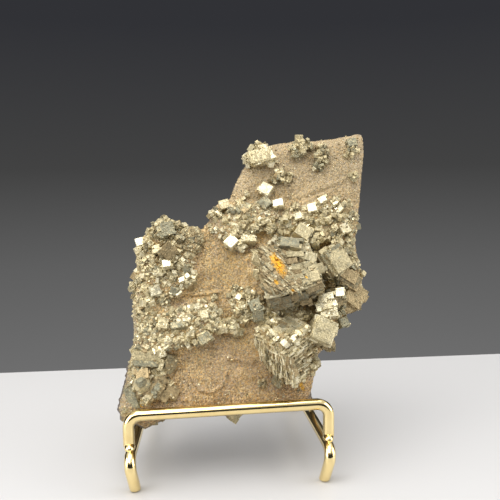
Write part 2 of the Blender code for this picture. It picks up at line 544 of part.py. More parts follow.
def to_object(name, bm):
    """Finish a bmesh drawn in millimetres as an object in metres."""
    bmesh.ops.scale(bm, vec=(MM, MM, MM), verts=bm.verts)
    bmesh.ops.recalc_face_normals(bm, faces=bm.faces)
    mesh = bpy.data.meshes.new(name)
    bm.to_mesh(mesh)
    bm.free()
    return link(bpy.data.objects.new(name, mesh))


def keep_main_body(mesh):
    """Drop the small closed pockets that crystals leave between them."""
    bm = bmesh.new()
    bm.from_mesh(mesh)
    bodies = []
    left = set(bm.verts)
    while left:
        body = []
        open_ends = [left.pop()]
        while open_ends:
            vert = open_ends.pop()
            body.append(vert)
            for edge in vert.link_edges:
                other = edge.other_vert(vert)
                if other in left:
                    left.remove(other)
                    open_ends.append(other)
        bodies.append(body)
    bodies.sort(key=len)
    for body in bodies[:-1]:
        bmesh.ops.delete(bm, geom=body, context="VERTS")
    bmesh.ops.triangulate(bm, faces=bm.faces)
    bm.to_mesh(mesh)
    bm.free()


def build_specimen(parent):
    """Rock and crystals fused into one solid and laid back on the stand."""
    chance = random.Random(SEED)
    crystals = bmesh.new()
    add_crystals(crystals)
    add_sown(crystals, chance)
    for block in STEPPED_BLOCKS:
        add_stepped_block(crystals, block, chance)
    for cushion in CUSHIONS:
        add_cushion(crystals, cushion)
    grown = to_object("crystals_guide", crystals)
    grown.hide_render = True
    grown.display_type = "WIRE"
    rock = to_object("rock", build_slab())
    union = rock.modifiers.new("fused", "BOOLEAN")
    union.operation = "UNION"
    union.solver = "EXACT"
    union.use_self = True
    union.object = grown
    mesh = evaluated_copy(rock)
    mesh.name = "pyrite_specimen"
    keep_main_body(mesh)
    for guide in (rock, grown):
        bpy.data.objects.remove(guide, do_unlink=True)
    mesh.materials.clear()
    mesh.materials.append(make_material("pyrite", (0.42, 0.35, 0.21), 0.45, 0.6))
    specimen = link(bpy.data.objects.new("pyrite_specimen", mesh), parent)
    specimen.location = DATUM * MM
    specimen.rotation_euler = (math.radians(-LEAN_DEG), 0.0, 0.0)


def main():
    """Build the stand and the specimen under one empty."""
    clear_scene()
    root = link(bpy.data.objects.new("specimen_on_stand", None))
    root.location = STAND_OFFSET * MM
    build_stand(root)
    build_specimen(root)


if __name__ == "__main__":
    main()
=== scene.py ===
"""Finish and fine form of a pyrite specimen leaning in a small gold wire stand.

The rock and its crystals are drawn in millimetres in the specimen's own upright
frame: x to the right, z up, y into the rock, so that a height above the front
datum is a negative y. POSE lays that frame back against the stand.
"""

import logging  # noqa: E402
import math  # noqa: E402
import random  # noqa: E402
from collections.abc import Sequence  # noqa: E402
from dataclasses import dataclass, field  # noqa: E402
from enum import Enum  # noqa: E402
from typing import Any, ClassVar  # noqa: E402

import bmesh  # noqa: E402
import bpy  # noqa: E402
import numpy as np  # noqa: E402
from mathutils import Matrix, Vector, noise  # noqa: E402


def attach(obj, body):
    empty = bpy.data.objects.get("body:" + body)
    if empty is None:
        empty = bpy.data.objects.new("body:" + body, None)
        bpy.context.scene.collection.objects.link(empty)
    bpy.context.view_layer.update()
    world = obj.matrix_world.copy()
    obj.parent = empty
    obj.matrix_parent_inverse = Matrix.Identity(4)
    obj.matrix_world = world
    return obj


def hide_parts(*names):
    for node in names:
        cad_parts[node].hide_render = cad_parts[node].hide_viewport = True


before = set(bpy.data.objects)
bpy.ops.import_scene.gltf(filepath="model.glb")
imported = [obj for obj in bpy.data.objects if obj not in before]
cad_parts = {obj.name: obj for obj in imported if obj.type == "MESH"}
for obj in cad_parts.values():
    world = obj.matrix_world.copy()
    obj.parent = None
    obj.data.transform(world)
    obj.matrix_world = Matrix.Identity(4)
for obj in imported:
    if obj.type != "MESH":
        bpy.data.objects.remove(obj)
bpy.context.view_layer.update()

LOG = logging.getLogger("pyrite")

Piece = bpy.types.Object
Material = bpy.types.Material
Tree = bpy.types.NodeTree
Node = bpy.types.Node
Socket = bpy.types.NodeSocket
BMesh = bmesh.types.BMesh
Pair = tuple[float, float]
Triple = tuple[float, float, float]
Pairs = tuple[Pair, ...]
Rows = tuple[tuple[float, ...], ...]
Stops = tuple[tuple[float, Triple], ...]
Spots = tuple[tuple[Vector, Triple], ...]

MM = 0.001
BODY = "root"

# Where the stand and the specimen are, in millimetres, and how far the specimen leans.
STAND_OFFSET = Vector((-5.4, -23.3, 0.0))
DATUM = Vector((0.0, 0.3, 10.0))
LEAN_DEG = 16.0
POSE = (Matrix.Scale(MM, 4) @ Matrix.Translation(STAND_OFFSET + DATUM)
        @ Matrix.Rotation(math.radians(-LEAN_DEG), 4, "X"))

# Camera and key light, in millimetres.
EYE = Vector((-13.75, -184.5, 83.7))
EYE_FORWARD = Vector((0.0862, 0.9875, -0.1323))
EYE_RIGHT = Vector((0.9960, -0.0885, -0.0116))
LENS_MM = 46.8
KEY_LIGHT = Vector((-130.0, -230.0, 420.0))


class Look(Enum):
    """Tarnish of a crystal: hue along the tarnish ramp, and how bright its faces gleam."""

    PALE = (0.08, 0.48)
    BRASS = (0.24, 0.38)
    KHAKI = (0.40, 0.28)
    GREEN = (0.60, 0.25)
    BROWN = (0.80, 0.22)
    TAN = (1.0, 0.10)
    MIRROR = (0.0, 1.0)


# ------------------------------------------------------------ shader building


class Graph:
    """Short way to add and join nodes in one node tree."""

    def __init__(self, tree: Tree) -> None:
        """Keep the tree that nodes are added to."""
        self.tree = tree

    def add(self, kind: str, settings: dict | None = None, **inputs: object) -> Node:
        """Add a node, set its properties and fill its inputs.

        Args:
            kind: Node type without its leading "ShaderNode".
            settings: Node properties such as operation or data_type.
            inputs: Values or output sockets by input name, with _ for a space.
        Returns:
            The new node.
        """
        node = self.tree.nodes.new("ShaderNode" + kind)
        for name, value in (settings or {}).items():
            setattr(node, name, value)
        for name, value in inputs.items():
            self.fill(node.inputs[name.replace("_", " ")], value)
        return node

    def fill(self, socket: Socket, value: object) -> None:
        """Join an output to a socket, or set the socket's own value."""
        if isinstance(value, Socket):
            self.tree.links.new(value, socket)
        else:
            socket.default_value = value

    def operation(self, kind: str, operation: str, values: tuple[object, ...]) -> Socket:
        """Add a node of one operation and fill its inputs in order.

        Args:
            kind: Node type without its leading "ShaderNode".
            operation: What the node does.
            values: Values or output sockets.
        Returns:
            The node's one live output: a length comes out of the second socket.
        """
        node = self.add(kind, {"operation": operation})
        for socket, value in zip(node.inputs, values):
            self.fill(socket, value)
        return node.outputs["Value"] if kind == "Math" or operation == "LENGTH" else node.outputs[0]

    def math(self, operation: str, *values: object) -> Socket:
        """Result of a Math node with its inputs given in order."""
        return self.operation("Math", operation, values)

    def vector(self, operation: str, *values: object) -> Socket:
        """Result of a Vector Math node with its inputs given in order."""
        return self.operation("VectorMath", operation, values)

    def mix(self, share: object, first: object, second: object, blend: str = "MIX") -> Socket:
        """Colour between two colours; a plain colour may come without its alpha."""
        node = self.add("Mix", {"data_type": "RGBA", "blend_type": blend, "clamp_result": False})
        for socket, value in zip((node.inputs[0], node.inputs[6], node.inputs[7]),
                                 (share, first, second)):
            self.fill(socket, (*value, 1.0) if isinstance(value, tuple) else value)
        return node.outputs[2]

    def ramp(self, value: object, stops: Stops) -> Socket:
        """Colour along a ramp of stops."""
        node = self.add("ValToRGB")
        elements = node.color_ramp.elements
        while len(elements) < len(stops):
            elements.new(0.5)
        for element, (place, colour) in zip(elements, stops):
            element.position = place
            element.color = (*colour, 1.0)
        self.fill(node.inputs[0], value)
        return node.outputs[0]

    def span(self, value: object, low: object, high: object,
             to_low: float = 0.0, to_high: float = 1.0) -> Socket:
        """Value mapped from one clamped span to another."""
        node = self.add("MapRange", {"clamp": True})
        for socket, number in zip(node.inputs, (value, low, high, to_low, to_high)):
            self.fill(socket, number)
        return node.outputs[0]

    def varied(self, value: object, mask: Socket, spread: float) -> Socket:
        """Value moved up and down by a mask of 0 to 1, over a spread."""
        offset = self.math("SUBTRACT", mask, 0.5)
        return self.math("ADD", value, self.math("MULTIPLY", offset, spread))


def grey(value: float) -> Triple:
    """Neutral colour of one value."""
    return (value, value, value)


def new_group(name: str, inputs: list[tuple[str, str, float | None]],
              outputs: list[tuple[str, str]]) -> tuple[Graph, Node, Node]:
    """Start a shader node group.

    Args:
        name: Name of the group.
        inputs: Socket name, socket type and default value of each input.
        outputs: Socket name and socket type of each output.
    Returns:
        The graph of the group, its input node and its output node.
    """
    tree = bpy.data.node_groups.new(name, "ShaderNodeTree")
    for label, kind, default in inputs:
        socket = tree.interface.new_socket(label, in_out="INPUT", socket_type="NodeSocket" + kind)
        if default is not None:
            socket.default_value = default
    for label, kind in outputs:
        tree.interface.new_socket(label, in_out="OUTPUT", socket_type="NodeSocket" + kind)
    return Graph(tree), tree.nodes.new("NodeGroupInput"), tree.nodes.new("NodeGroupOutput")


class Effects:
    """Shader groups shared by the finishes, each built once."""

    def __init__(self) -> None:
        """Build every group."""
        self.facets = self._facets()
        self.growth = self._growth()
        self.patina = self._patina()

    def _facets(self) -> Tree:
        """Tiny flat grains, each tilted its own way, with random values a grain."""
        graph, source, result = new_group(
            "tiny_facets",
            [("Place", "Vector", None), ("Size", "Float", 0.4), ("Tilt", "Float", 0.3)],
            [("Normal", "Vector"), ("Grain", "Color")])
        scaled = graph.vector("DIVIDE", source.outputs["Place"], source.outputs["Size"])
        cells = graph.add("TexVoronoi", {"feature": "F1"}, Vector=scaled, Scale=1.0)
        tilt = graph.vector("SUBTRACT", cells.outputs["Color"], grey(0.5))
        tilt = graph.vector("MULTIPLY", tilt, source.outputs["Tilt"])
        surface = graph.add("NewGeometry")
        normal = graph.vector("NORMALIZE", graph.vector("ADD", surface.outputs["Normal"], tilt))
        graph.fill(result.inputs["Normal"], normal)
        graph.fill(result.inputs["Grain"], cells.outputs["Color"])
        return graph.tree

    def _growth(self) -> Tree:
        """Fine parallel growth steps that cross each crystal face."""
        waviness, stretch = 0.8, 0.35
        graph, source, result = new_group(
            "growth_steps", [("Place", "Vector", None), ("Spacing", "Float", 0.35)],
            [("Height", "Float"), ("Line", "Float")])
        wobble = graph.add("TexNoise", Vector=source.outputs["Place"], Scale=0.6, Detail=2.0)
        parts = graph.add("SeparateXYZ", Vector=source.outputs["Place"])
        along = graph.math("ADD", parts.outputs[2],
                           graph.math("MULTIPLY", wobble.outputs[0], waviness))
        streak = graph.add("CombineXYZ", X=graph.math("MULTIPLY", parts.outputs[0], stretch),
                           Y=graph.math("MULTIPLY", parts.outputs[1], stretch),
                           Z=graph.math("DIVIDE", along, source.outputs["Spacing"]))
        lines = graph.add("TexNoise", Vector=streak.outputs[0], Scale=1.0, Detail=3.0,
                          Roughness=0.6)
        graph.fill(result.inputs["Height"], lines.outputs[0])
        graph.fill(result.inputs["Line"], graph.span(lines.outputs[0], 0.36, 0.5))
        return graph.tree

    def _patina(self) -> Tree:
        """Cloudy mask of tarnish or dust at two scales."""
        softness = 0.12
        graph, source, result = new_group(
            "patina", [("Place", "Vector", None), ("Size", "Float", 3.0), ("Cover", "Float", 0.5)],
            [("Mask", "Float")])
        scaled = graph.vector("DIVIDE", source.outputs["Place"], source.outputs["Size"])
        broad = graph.add("TexNoise", Vector=scaled, Scale=1.0, Detail=4.0, Roughness=0.6)
        edge = graph.math("SUBTRACT", 1.0, source.outputs["Cover"])
        mask = graph.span(broad.outputs[0], graph.math("SUBTRACT", edge, softness),
                          graph.math("ADD", edge, softness))
        graph.fill(result.inputs["Mask"], mask)
        return graph.tree


class Finish:
    """Base of the finishes: makes a material with a principled shader in it."""

    name = "finish"
    rust_slant = 0.45
    rust_raggedness = 3.0
    rust_edge = (0.6, 1.05)
    rust_tones = ((0.36, (0.46, 0.24, 0.05)), (0.54, (0.92, 0.50, 0.03)))

    def start(self) -> tuple[Material, Graph, Node]:
        """The new material, the graph of its tree and its principled shader."""
        material = bpy.data.materials.new(self.name)
        material.use_nodes = True
        return material, Graph(material.node_tree), material.node_tree.nodes["Principled BSDF"]

    @staticmethod
    def place(graph: Graph) -> Socket:
        """Position on the object in millimetres."""
        coords = graph.add("TexCoord")
        return graph.vector("MULTIPLY", coords.outputs["Object"], grey(1000.0))

    @staticmethod
    def group(graph: Graph, tree: Tree, **inputs: object) -> Node:
        """Place a shared effect in a material."""
        return graph.add("Group", {"node_tree": tree}, **inputs)

    def rusted(self, graph: Graph, colour: Socket, metal: Socket, place: Socket,
               spots: Spots) -> tuple[Socket, Socket]:
        """Stain a finish with orange iron rust.

        Args:
            graph: Graph of the material.
            colour: Colour without the stain.
            metal: Share of metal without the stain.
            place: Position in millimetres.
            spots: Centre and reach of every stain.
        Returns:
            Colour and share of metal with the stains.
        """
        ragged = graph.add("TexNoise", Vector=place, Scale=1.0, Detail=4.0, Roughness=0.75)
        near = None
        for spot, reach in spots:
            offset = graph.add("SeparateXYZ", Vector=graph.vector("SUBTRACT", place, spot)).outputs
            slant = graph.math("MULTIPLY", offset[2], self.rust_slant)
            slanted = graph.math("ADD", offset[0], slant)
            slope = graph.add("CombineXYZ", X=slanted, Y=offset[1], Z=offset[2]).outputs[0]
            away = graph.vector("LENGTH", graph.vector("DIVIDE", slope, reach))
            near = away if near is None else graph.math("MINIMUM", near, away)
        near = graph.varied(near, ragged.outputs[0], self.rust_raggedness)
        inner, outer = self.rust_edge
        rust = graph.ramp(ragged.outputs[0], self.rust_tones)
        return (graph.mix(graph.span(near, outer, inner), colour, rust),
                graph.math("MULTIPLY", metal, graph.span(near, inner, outer)))


@dataclass(frozen=True)
class DruseFinish(Finish):
    """Rock under a skin of sparkling pyrite grains too small to see singly."""

    effects: Effects
    name: str = "sparkling_matrix"
    grain_mm: float = 0.30
    tilt: float = 0.8
    rust_spots: Spots = ()
    ground_tones: Stops = (
        (0.34, (0.37, 0.275, 0.155)), (0.45, (0.43, 0.32, 0.17)),
        (0.55, (0.49, 0.365, 0.18)), (0.66, (0.41, 0.315, 0.19)))
    # Tints of single grains, which multiply the ground.
    speck_tints: Stops = (
        (0.0, (0.50, 0.48, 0.47)), (0.20, (0.74, 0.70, 0.62)), (0.42, (1.0, 1.0, 1.0)),
        (0.60, (1.32, 1.06, 0.66)), (0.78, (0.92, 1.0, 1.36)), (0.92, (1.62, 1.60, 1.48)))
    top_tone: Triple = (0.405, 0.32, 0.19)
    left_rim_tone: Triple = (0.37, 0.325, 0.205)
    foot_tone: Triple = (0.35, 0.245, 0.155)
    hidden_tone: Triple = (0.13, 0.105, 0.08)

    def make(self) -> Material:
        """Material of the rock."""
        material, graph, shader = self.start()
        place = self.place(graph)
        grains = self.group(graph, self.effects.facets, Place=place, Size=self.grain_mm,
                            Tilt=self.tilt)
        broad = graph.add("TexNoise", Vector=place, Scale=0.085, Detail=3.0, Roughness=0.55)
        across, _, level = graph.add("SeparateXYZ", Vector=place).outputs
        colour = graph.ramp(broad.outputs[0], self.ground_tones)
        colour = graph.mix(graph.span(level, 62.0, 80.0), colour, self.top_tone)
        colour = graph.mix(graph.span(across, -27.0, -31.5), colour, self.left_rim_tone)
        colour = graph.mix(graph.span(level, 38.0, 24.0, 0.0, 0.35), colour, self.foot_tone)
        tint, metal, rough = graph.add("SeparateColor", Color=grains.outputs["Grain"]).outputs
        speck = graph.ramp(tint, self.speck_tints)
        colour = graph.mix(graph.span(level, 58.0, 76.0, 0.95, 0.6), colour, speck, "MULTIPLY")
        hidden = graph.add("Attribute", {"attribute_name": "hidden_rock"})
        colour = graph.mix(hidden.outputs["Fac"], colour, self.hidden_tone)
        metal = graph.span(metal, 0.3, 0.7, 0.2, 0.5)
        colour, metal = self.rusted(graph, colour, metal, place, self.rust_spots)
        graph.fill(shader.inputs["Base Color"], colour)
        graph.fill(shader.inputs["Metallic"], metal)
        graph.fill(shader.inputs["Roughness"], graph.span(rough, 0.0, 1.0, 0.42, 0.68))
        graph.fill(shader.inputs["Normal"], grains.outputs["Normal"])
        return material


@dataclass(frozen=True)
class PyriteFinish(Finish):
    """Brassy metallic crystals with greenish and brown tarnish."""

    effects: Effects
    name: str = "pyrite_crystals"
    step_mm: float = 0.30
    step_shade: float = 0.68
    cloud_mm: float = 1.6
    grain_mm: float = 0.24
    tilt: float = 0.30
    dullness: float = 0.0
    brightness: float = 1.0
    rust_spots: Spots = ()
    # Tarnish from a fresh bright face to dull tan, by the hue of a crystal.
    tarnish: Stops = (
        (0.0, (0.84, 0.77, 0.55)), (0.20, (0.66, 0.565, 0.335)), (0.40, (0.50, 0.42, 0.245)),
        (0.60, (0.285, 0.285, 0.205)), (0.80, (0.28, 0.215, 0.11)), (1.0, (0.47, 0.36, 0.195)))

    def make(self) -> Material:
        """Material of the crystals."""
        material, graph, shader = self.start()
        place = self.place(graph)
        own = graph.add("Attribute", {"attribute_name": "own_place"}).outputs["Vector"]
        hue = graph.add("Attribute", {"attribute_name": "hue"}).outputs["Fac"]
        gleam = graph.add("Attribute", {"attribute_name": "gleam"}).outputs["Fac"]
        clouds = self.group(graph, self.effects.patina, Place=own, Size=self.cloud_mm,
                            Cover=0.45).outputs[0]
        grains = self.group(graph, self.effects.facets, Place=own, Size=self.grain_mm,
                            Tilt=self.tilt)
        tint, shade, _ = graph.add("SeparateColor", Color=grains.outputs["Grain"]).outputs
        hue = graph.math("ADD", graph.varied(hue, clouds, 0.14),
                         graph.span(tint, 0.0, 1.0, -0.13, 0.13))
        lines = self.group(graph, self.effects.growth, Place=own, Spacing=self.step_mm)
        shade = graph.math("MULTIPLY", graph.span(lines.outputs["Line"], 0.0, 1.0,
                                                  self.step_shade * self.brightness,
                                                  self.brightness),
                           graph.span(shade, 0.0, 1.0, 0.80, 1.16))
        shade = graph.add("CombineColor", Red=shade, Green=shade, Blue=shade).outputs[0]
        colour = graph.mix(1.0, graph.ramp(hue, self.tarnish), shade, "MULTIPLY")
        metal = graph.span(clouds, 0.0, 1.0, 0.66 - self.dullness, 0.36 - self.dullness)
        rough = graph.math("ADD", graph.span(gleam, 0.0, 1.0, 0.56 + 0.4 * self.dullness, 0.22),
                           graph.span(clouds, 0.0, 1.0, 0.0, 0.14))
        if self.rust_spots:
            colour, metal = self.rusted(graph, colour, metal, place, self.rust_spots)
        graph.fill(shader.inputs["Base Color"], colour)
        graph.fill(shader.inputs["Metallic"], metal)
        shader.inputs["Specular IOR Level"].default_value = 0.3
        graph.fill(shader.inputs["Roughness"], rough)
        bump = graph.add("Bump", Strength=0.7, Distance=0.12 * MM, Height=lines.outputs["Height"],
                         Normal=grains.outputs["Normal"])
        graph.fill(shader.inputs["Normal"], bump.outputs[0])
        return material


@dataclass(frozen=True)
class GoldFinish(Finish):
    """Polished gold plate on bent wire, with faint draw marks and handling haze."""

    effects: Effects
    name: str = "gold_plate"
    haze_mm: float = 5.0
    colour: Triple = (0.93, 0.75, 0.375)
    haze_share: Triple = (0.93, 0.88, 0.78)

    def make(self) -> Material:
        """Material of the wires."""
        material, graph, shader = self.start()
        place = self.place(graph)
        haze = self.group(graph, self.effects.patina, Place=place, Size=self.haze_mm,
                          Cover=0.4).outputs[0]
        deeper = tuple(channel * share for channel, share in zip(self.colour, self.haze_share))
        graph.fill(shader.inputs["Base Color"], graph.mix(haze, self.colour, deeper))
        shader.inputs["Metallic"].default_value = 1.0
        graph.fill(shader.inputs["Roughness"], graph.span(haze, 0.0, 1.0, 0.07, 0.16))
        marks = graph.add("TexNoise", Vector=place, Scale=0.9, Detail=3.0)
        bump = graph.add("Bump", Strength=0.12, Distance=0.08 * MM, Height=marks.outputs[0])
        graph.fill(shader.inputs["Normal"], bump.outputs[0])
        return material


@dataclass(frozen=True)
class FloorFinish(Finish):
    """Matt pale floor."""

    name: str = "pale_floor"
    shade: float = 0.565
    warmth: Triple = (1.0, 0.985, 0.975)

    def make(self) -> Material:
        """Material of the floor."""
        material, _, shader = self.start()
        colour = [self.shade * share for share in self.warmth]
        shader.inputs["Base Color"].default_value = (*colour, 1.0)
        shader.inputs["Roughness"].default_value = 0.45
        return material


# ---------------------------------------------------------------- the rock


def ease(value: float, low: float, high: float) -> float:
    """Ease from 0 at low to 1 at high."""
    share = min(max((value - low) / (high - low), 0.0), 1.0)
    return share * share * (3.0 - 2.0 * share)


def waves(x: float, z: float, length: float, layer: float) -> float:
    """Smooth noise over the plane of the slab, of one wave length, from one of its layers."""
    return noise.noise(Vector((x / length, z / length, layer)))


def off_line(place: Vector, a: Vector, b: Vector) -> float:
    """Distance from a place to the straight line between two points."""
    share = min(max((place - a).dot(b - a) / (b - a).length_squared, 0.0), 1.0)
    return (place - a.lerp(b, share)).length


def cut(bm: BMesh, place: Triple, normal: Triple, near: float, **sides: bool) -> None:
    """Bisect a whole bmesh by a plane; near is how close a vertex already counts as cut."""
    bmesh.ops.bisect_plane(bm, geom=bm.verts[:] + bm.edges[:] + bm.faces[:], dist=near,
                           plane_co=place, plane_no=normal, **sides)


def finished(piece: Piece, material: Material, slot: str,
             *nodes: str) -> Piece:
    """Give a piece its material and its body, and hide the nodes that it stands for."""
    piece.data.materials.clear()
    piece.data.materials.append(material)
    bpy.context.scene.collection.objects.link(piece)
    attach(piece, BODY)
    if nodes:
        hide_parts(*nodes)
    LOG.info("%s: %d faces", piece.name, len(piece.data.polygons))
    return piece


def mesh_piece(name: str, bm: BMesh) -> Piece:
    """Object with the mesh of a bmesh, which is then freed."""
    mesh = bpy.data.meshes.new(name)
    bm.to_mesh(mesh)
    bm.free()
    return bpy.data.objects.new(name, mesh)


def evaluated_mesh(guide: Piece) -> bpy.types.Mesh:
    """Mesh of a guide with its modifiers worked out; the guide is then removed."""
    bpy.context.scene.collection.objects.link(guide)
    bpy.context.view_layer.update()
    evaluated = guide.evaluated_get(bpy.context.evaluated_depsgraph_get())
    mesh = bpy.data.meshes.new_from_object(evaluated)
    bpy.data.objects.remove(guide, do_unlink=True)
    return mesh


@dataclass
class Rock:
    """Slab of matrix that every crystal grows on."""

    thick_low: float = 16.0
    thick_top: float = 10.0
    grid: float = 2.2
    skin: float = 0.46
    side_cuts: tuple[float, float] = (5.5, 11.0)
    # Relief of the front: two waves, then how far the lip, the foot and the rim fall away.
    waviness: Pairs = ((0.8, 13.0), (0.5, 4.5))
    lip_levels: Pair = (12.0, 17.0)
    lip_relief: float = 0.1
    foot_levels: Pair = (4.5, 9.5)
    foot_fall: float = 2.2
    rim_fall: float = 1.4
    rim_width: float = 3.0
    # Back: it thins towards the top, has a hump over the right rail and a worn rim.
    thin_levels: Pair = (46.0, 86.0)
    hump: Triple = (20.0, 9.0, 3.2)
    hump_reach: float = 8.0
    back_waviness: float = 0.9
    back_rim_fall: float = 3.5
    back_rim_levels: Pair = (14.0, 30.0)
    back_rim_width: float = 5.0
    # Flare: how the sides spread towards the back, held in at the lower right.
    flare_centre: Vector = field(default_factory=lambda: Vector((-8.0, 26.0)))
    flare_reach: float = 175.0
    flare_top: float = 0.35
    flare_levels: Pair = (14.0, 40.0)
    held_share: float = 0.8
    held_levels: Pair = (24.0, 34.0)
    held_right: float = 15.0
    heel: Vector = field(default_factory=lambda: Vector((22.0, 11.0)))
    heel_reach: float = 4.5
    heel_push: Vector = field(default_factory=lambda: Vector((3.0, -4.0)))
    foot_level: float = 11.9
    # Fine relief of the fracture, in heights and wave lengths.
    fracture: Pairs = ((0.45, 3.2), (0.3, 1.3))
    bedding: Pair = (0.35, 7.0)
    bed_height: float = 0.9
    grain: Pair = (0.10, 0.8)
    grit: float = 0.04
    sunk: float = 0.25
    front_depth: float = 3.0
    facing_span: Pair = (0.15, 0.6)
    side_relief: Pair = (0.6, 5.0)
    seed: int = 5
    outline: Pairs = (
        (39.7, 85.5), (40.5, 85.2), (40.9, 84.3), (40.9, 79.0), (39.5, 71.5), (38.5, 63.0),
        (37.0, 55.5), (37.0, 49.0), (37.5, 44.5), (37.5, 39.0), (35.5, 35.5), (32.0, 33.0),
        (30.0, 28.0), (27.5, 25.5), (24.5, 23.0), (23.5, 19.0), (23.0, 16.0), (22.0, 12.5),
        (19.5, 9.5), (4.5, 8.8), (1.5, 6.5), (-2.5, 9.0), (-17.0, 8.0), (-22.0, 5.5),
        (-24.5, 7.0), (-28.0, 8.0), (-29.0, 11.0), (-28.5, 13.5), (-27.0, 18.0), (-26.5, 21.0),
        (-25.0, 27.0), (-25.0, 33.5), (-25.0, 40.5), (-24.0, 45.5), (-24.0, 51.0),
        (-23.0, 55.0), (-21.0, 57.5), (-18.0, 60.5), (-15.5, 61.0), (-12.5, 59.5), (-8.0, 59.0),
        (-6.0, 58.5), (-3.5, 61.5), (-3.5, 64.0), (-1.5, 65.5), (2.0, 67.0), (3.5, 71.0),
        (6.5, 76.0), (7.5, 79.0), (10.5, 81.5), (15.0, 82.5), (21.0, 83.5), (27.0, 83.5),
        (32.5, 84.0), (36.0, 84.8))
    # Crusts of crystals: centre x, z, half length, half width, turn in degrees, height.
    crust_uneven: float = 0.18
    crust_edge: float = 0.85
    crusts: Rows = (
        (-16.0, 53.5, 9.0, 7.5, 0.0, 2.0), (-17.0, 45.0, 9.0, 5.5, 10.0, 1.7),
        (-20.0, 37.0, 5.5, 8.0, 0.0, 1.3), (-13.0, 31.5, 12.5, 5.5, 20.0, 2.4),
        (-21.5, 20.0, 5.0, 8.5, 0.0, 1.3), (6.0, 60.0, 10.0, 4.5, 15.0, 1.5),
        (26.0, 59.0, 13.0, 5.5, 0.0, 1.8), (33.0, 43.0, 5.0, 12.0, 0.0, 1.6),
        (17.0, 46.5, 10.0, 8.0, -35.0, 2.0), (16.0, 33.5, 7.0, 3.5, 0.0, 1.6),
        (5.5, 37.5, 4.5, 5.0, 0.0, 1.0))
    # Low ridges and grooves on the bare rock: both ends x, z, then height and half width.
    ridges: Rows = (
        (0.5, 23.3, 6.4, 21.9, 1.0, 0.9), (3.6, 19.4, 6.0, 17.8, 0.7, 0.8),
        (-10.3, 18.6, -7.6, 15.1, 0.5, 0.5), (-7.6, 15.1, -4.2, 14.5, 0.6, 0.5),
        (-4.2, 14.5, -1.2, 16.4, 0.6, 0.5), (-1.2, 16.4, -0.5, 19.5, 0.5, 0.5),
        (12.4, 15.9, 16.2, 14.2, -1.7, 0.7), (-17.2, 18.9, -13.2, 21.9, -0.9, 0.5),
        (-13.2, 21.9, -9.4, 25.1, -0.8, 0.45), (-9.4, 25.1, -4.0, 27.4, -0.8, 0.45),
        (-8.0, 40.3, -2.0, 40.8, 0.5, 0.5), (-14.0, 41.2, -8.0, 40.3, 0.5, 0.5),
        (20.0, 66.5, 34.0, 71.5, 0.35, 0.8), (22.0, 65.0, 30.0, 68.0, 0.3, 0.6),
        (-4.0, 59.5, 2.0, 62.0, 0.4, 0.7))

    def rim_distance(self, x: float, z: float) -> float:
        """Distance in the plane to the front edge of the slab."""
        place = Vector((x, z))
        ends = [Vector(corner) for corner in self.outline]
        return min(off_line(place, a, b) for a, b in zip(ends, ends[1:] + ends[:1]))

    def inside(self, x: float, z: float) -> bool:
        """True where the front of the slab covers a place."""
        crossings = False
        for (ax, az), (bx, bz) in zip(self.outline, self.outline[1:] + self.outline[:1]):
            if (az > z) != (bz > z) and x < (bx - ax) * (z - az) / (bz - az) + ax:
                crossings = not crossings
        return crossings

    @staticmethod
    def share_of(x: float, z: float, patch: tuple[float, ...]) -> float:
        """Distance from a patch's centre as a share of its elliptic edge."""
        middle_x, middle_z, half_length, half_width, turn, _ = patch
        angle = math.radians(turn)
        dx, dz = x - middle_x, z - middle_z
        along = dx * math.cos(angle) + dz * math.sin(angle)
        across = dz * math.cos(angle) - dx * math.sin(angle)
        return math.hypot(along / half_length, across / half_width)

    def crust(self, x: float, z: float, sharp: float = 1.1) -> float:
        """Height that the crusts add at a place."""
        height = 0.0
        uneven = self.crust_uneven * waves(x, z, 3.0, 3.0)
        for patch in self.crusts:
            share = self.share_of(x, z, patch) + uneven
            height = max(height, patch[-1] * (1.0 - ease(share, self.crust_edge, sharp)))
        return height

    def front(self, x: float, z: float) -> float:
        """Height of the rock's front above the datum, without its crystals."""
        (broad, broad_length), (fine, fine_length) = self.waviness
        height = broad * waves(x, z, broad_length, 0.0)
        height += fine * waves(x, z, fine_length, 7.0)
        height += self.crust(x, z)
        near_lip = 1.0 - ease(z, *self.lip_levels)
        height = height * (1.0 - near_lip) + min(height, self.lip_relief) * near_lip
        height -= self.foot_fall * (1.0 - ease(z, *self.foot_levels))
        return height - self.rim_fall * (1.0 - ease(self.rim_distance(x, z), 0.0, self.rim_width))

    def back(self, x: float, z: float) -> float:
        """Depth of the rock's back below the datum."""
        depth = self.thick_low + (self.thick_top - self.thick_low) * ease(z, *self.thin_levels)
        hump_x, hump_z, hump_depth = self.hump
        depth += hump_depth * math.exp(-((x - hump_x) / self.hump_reach) ** 2
                                       - ((z - hump_z) / self.hump_reach) ** 2)
        depth += self.back_waviness * waves(x, z, 9.0, 21.0)
        rim = 1.0 - ease(self.rim_distance(x, z), 0.0, self.back_rim_width)
        return depth - self.back_rim_fall * rim * ease(z, *self.back_rim_levels)

    def flared(self, x: float, z: float, depth: float) -> tuple[float, float]:
        """Side of the slab at a depth: it spreads, and its foot rests on the rails."""
        strength = self.flare_top + (1.0 - self.flare_top) * (1.0 - ease(z, *self.flare_levels))
        strength *= 1.0 - (self.held_share * ease(x, 0.0, self.held_right)
                           * (1.0 - ease(z, *self.held_levels)))
        place = Vector((x, z))
        spread = self.flare_centre + ((place - self.flare_centre)
                                      * (1.0 + strength * depth / self.flare_reach))
        heel = math.exp(-((place - self.heel).length / self.heel_reach) ** 2)
        spread += self.heel_push * heel * (depth / self.thick_low) ** 3
        lean = math.radians(LEAN_DEG)
        foot = (self.foot_level - DATUM.z + depth * math.sin(lean)) / math.cos(lean)
        return spread.x, max(spread.y, foot)

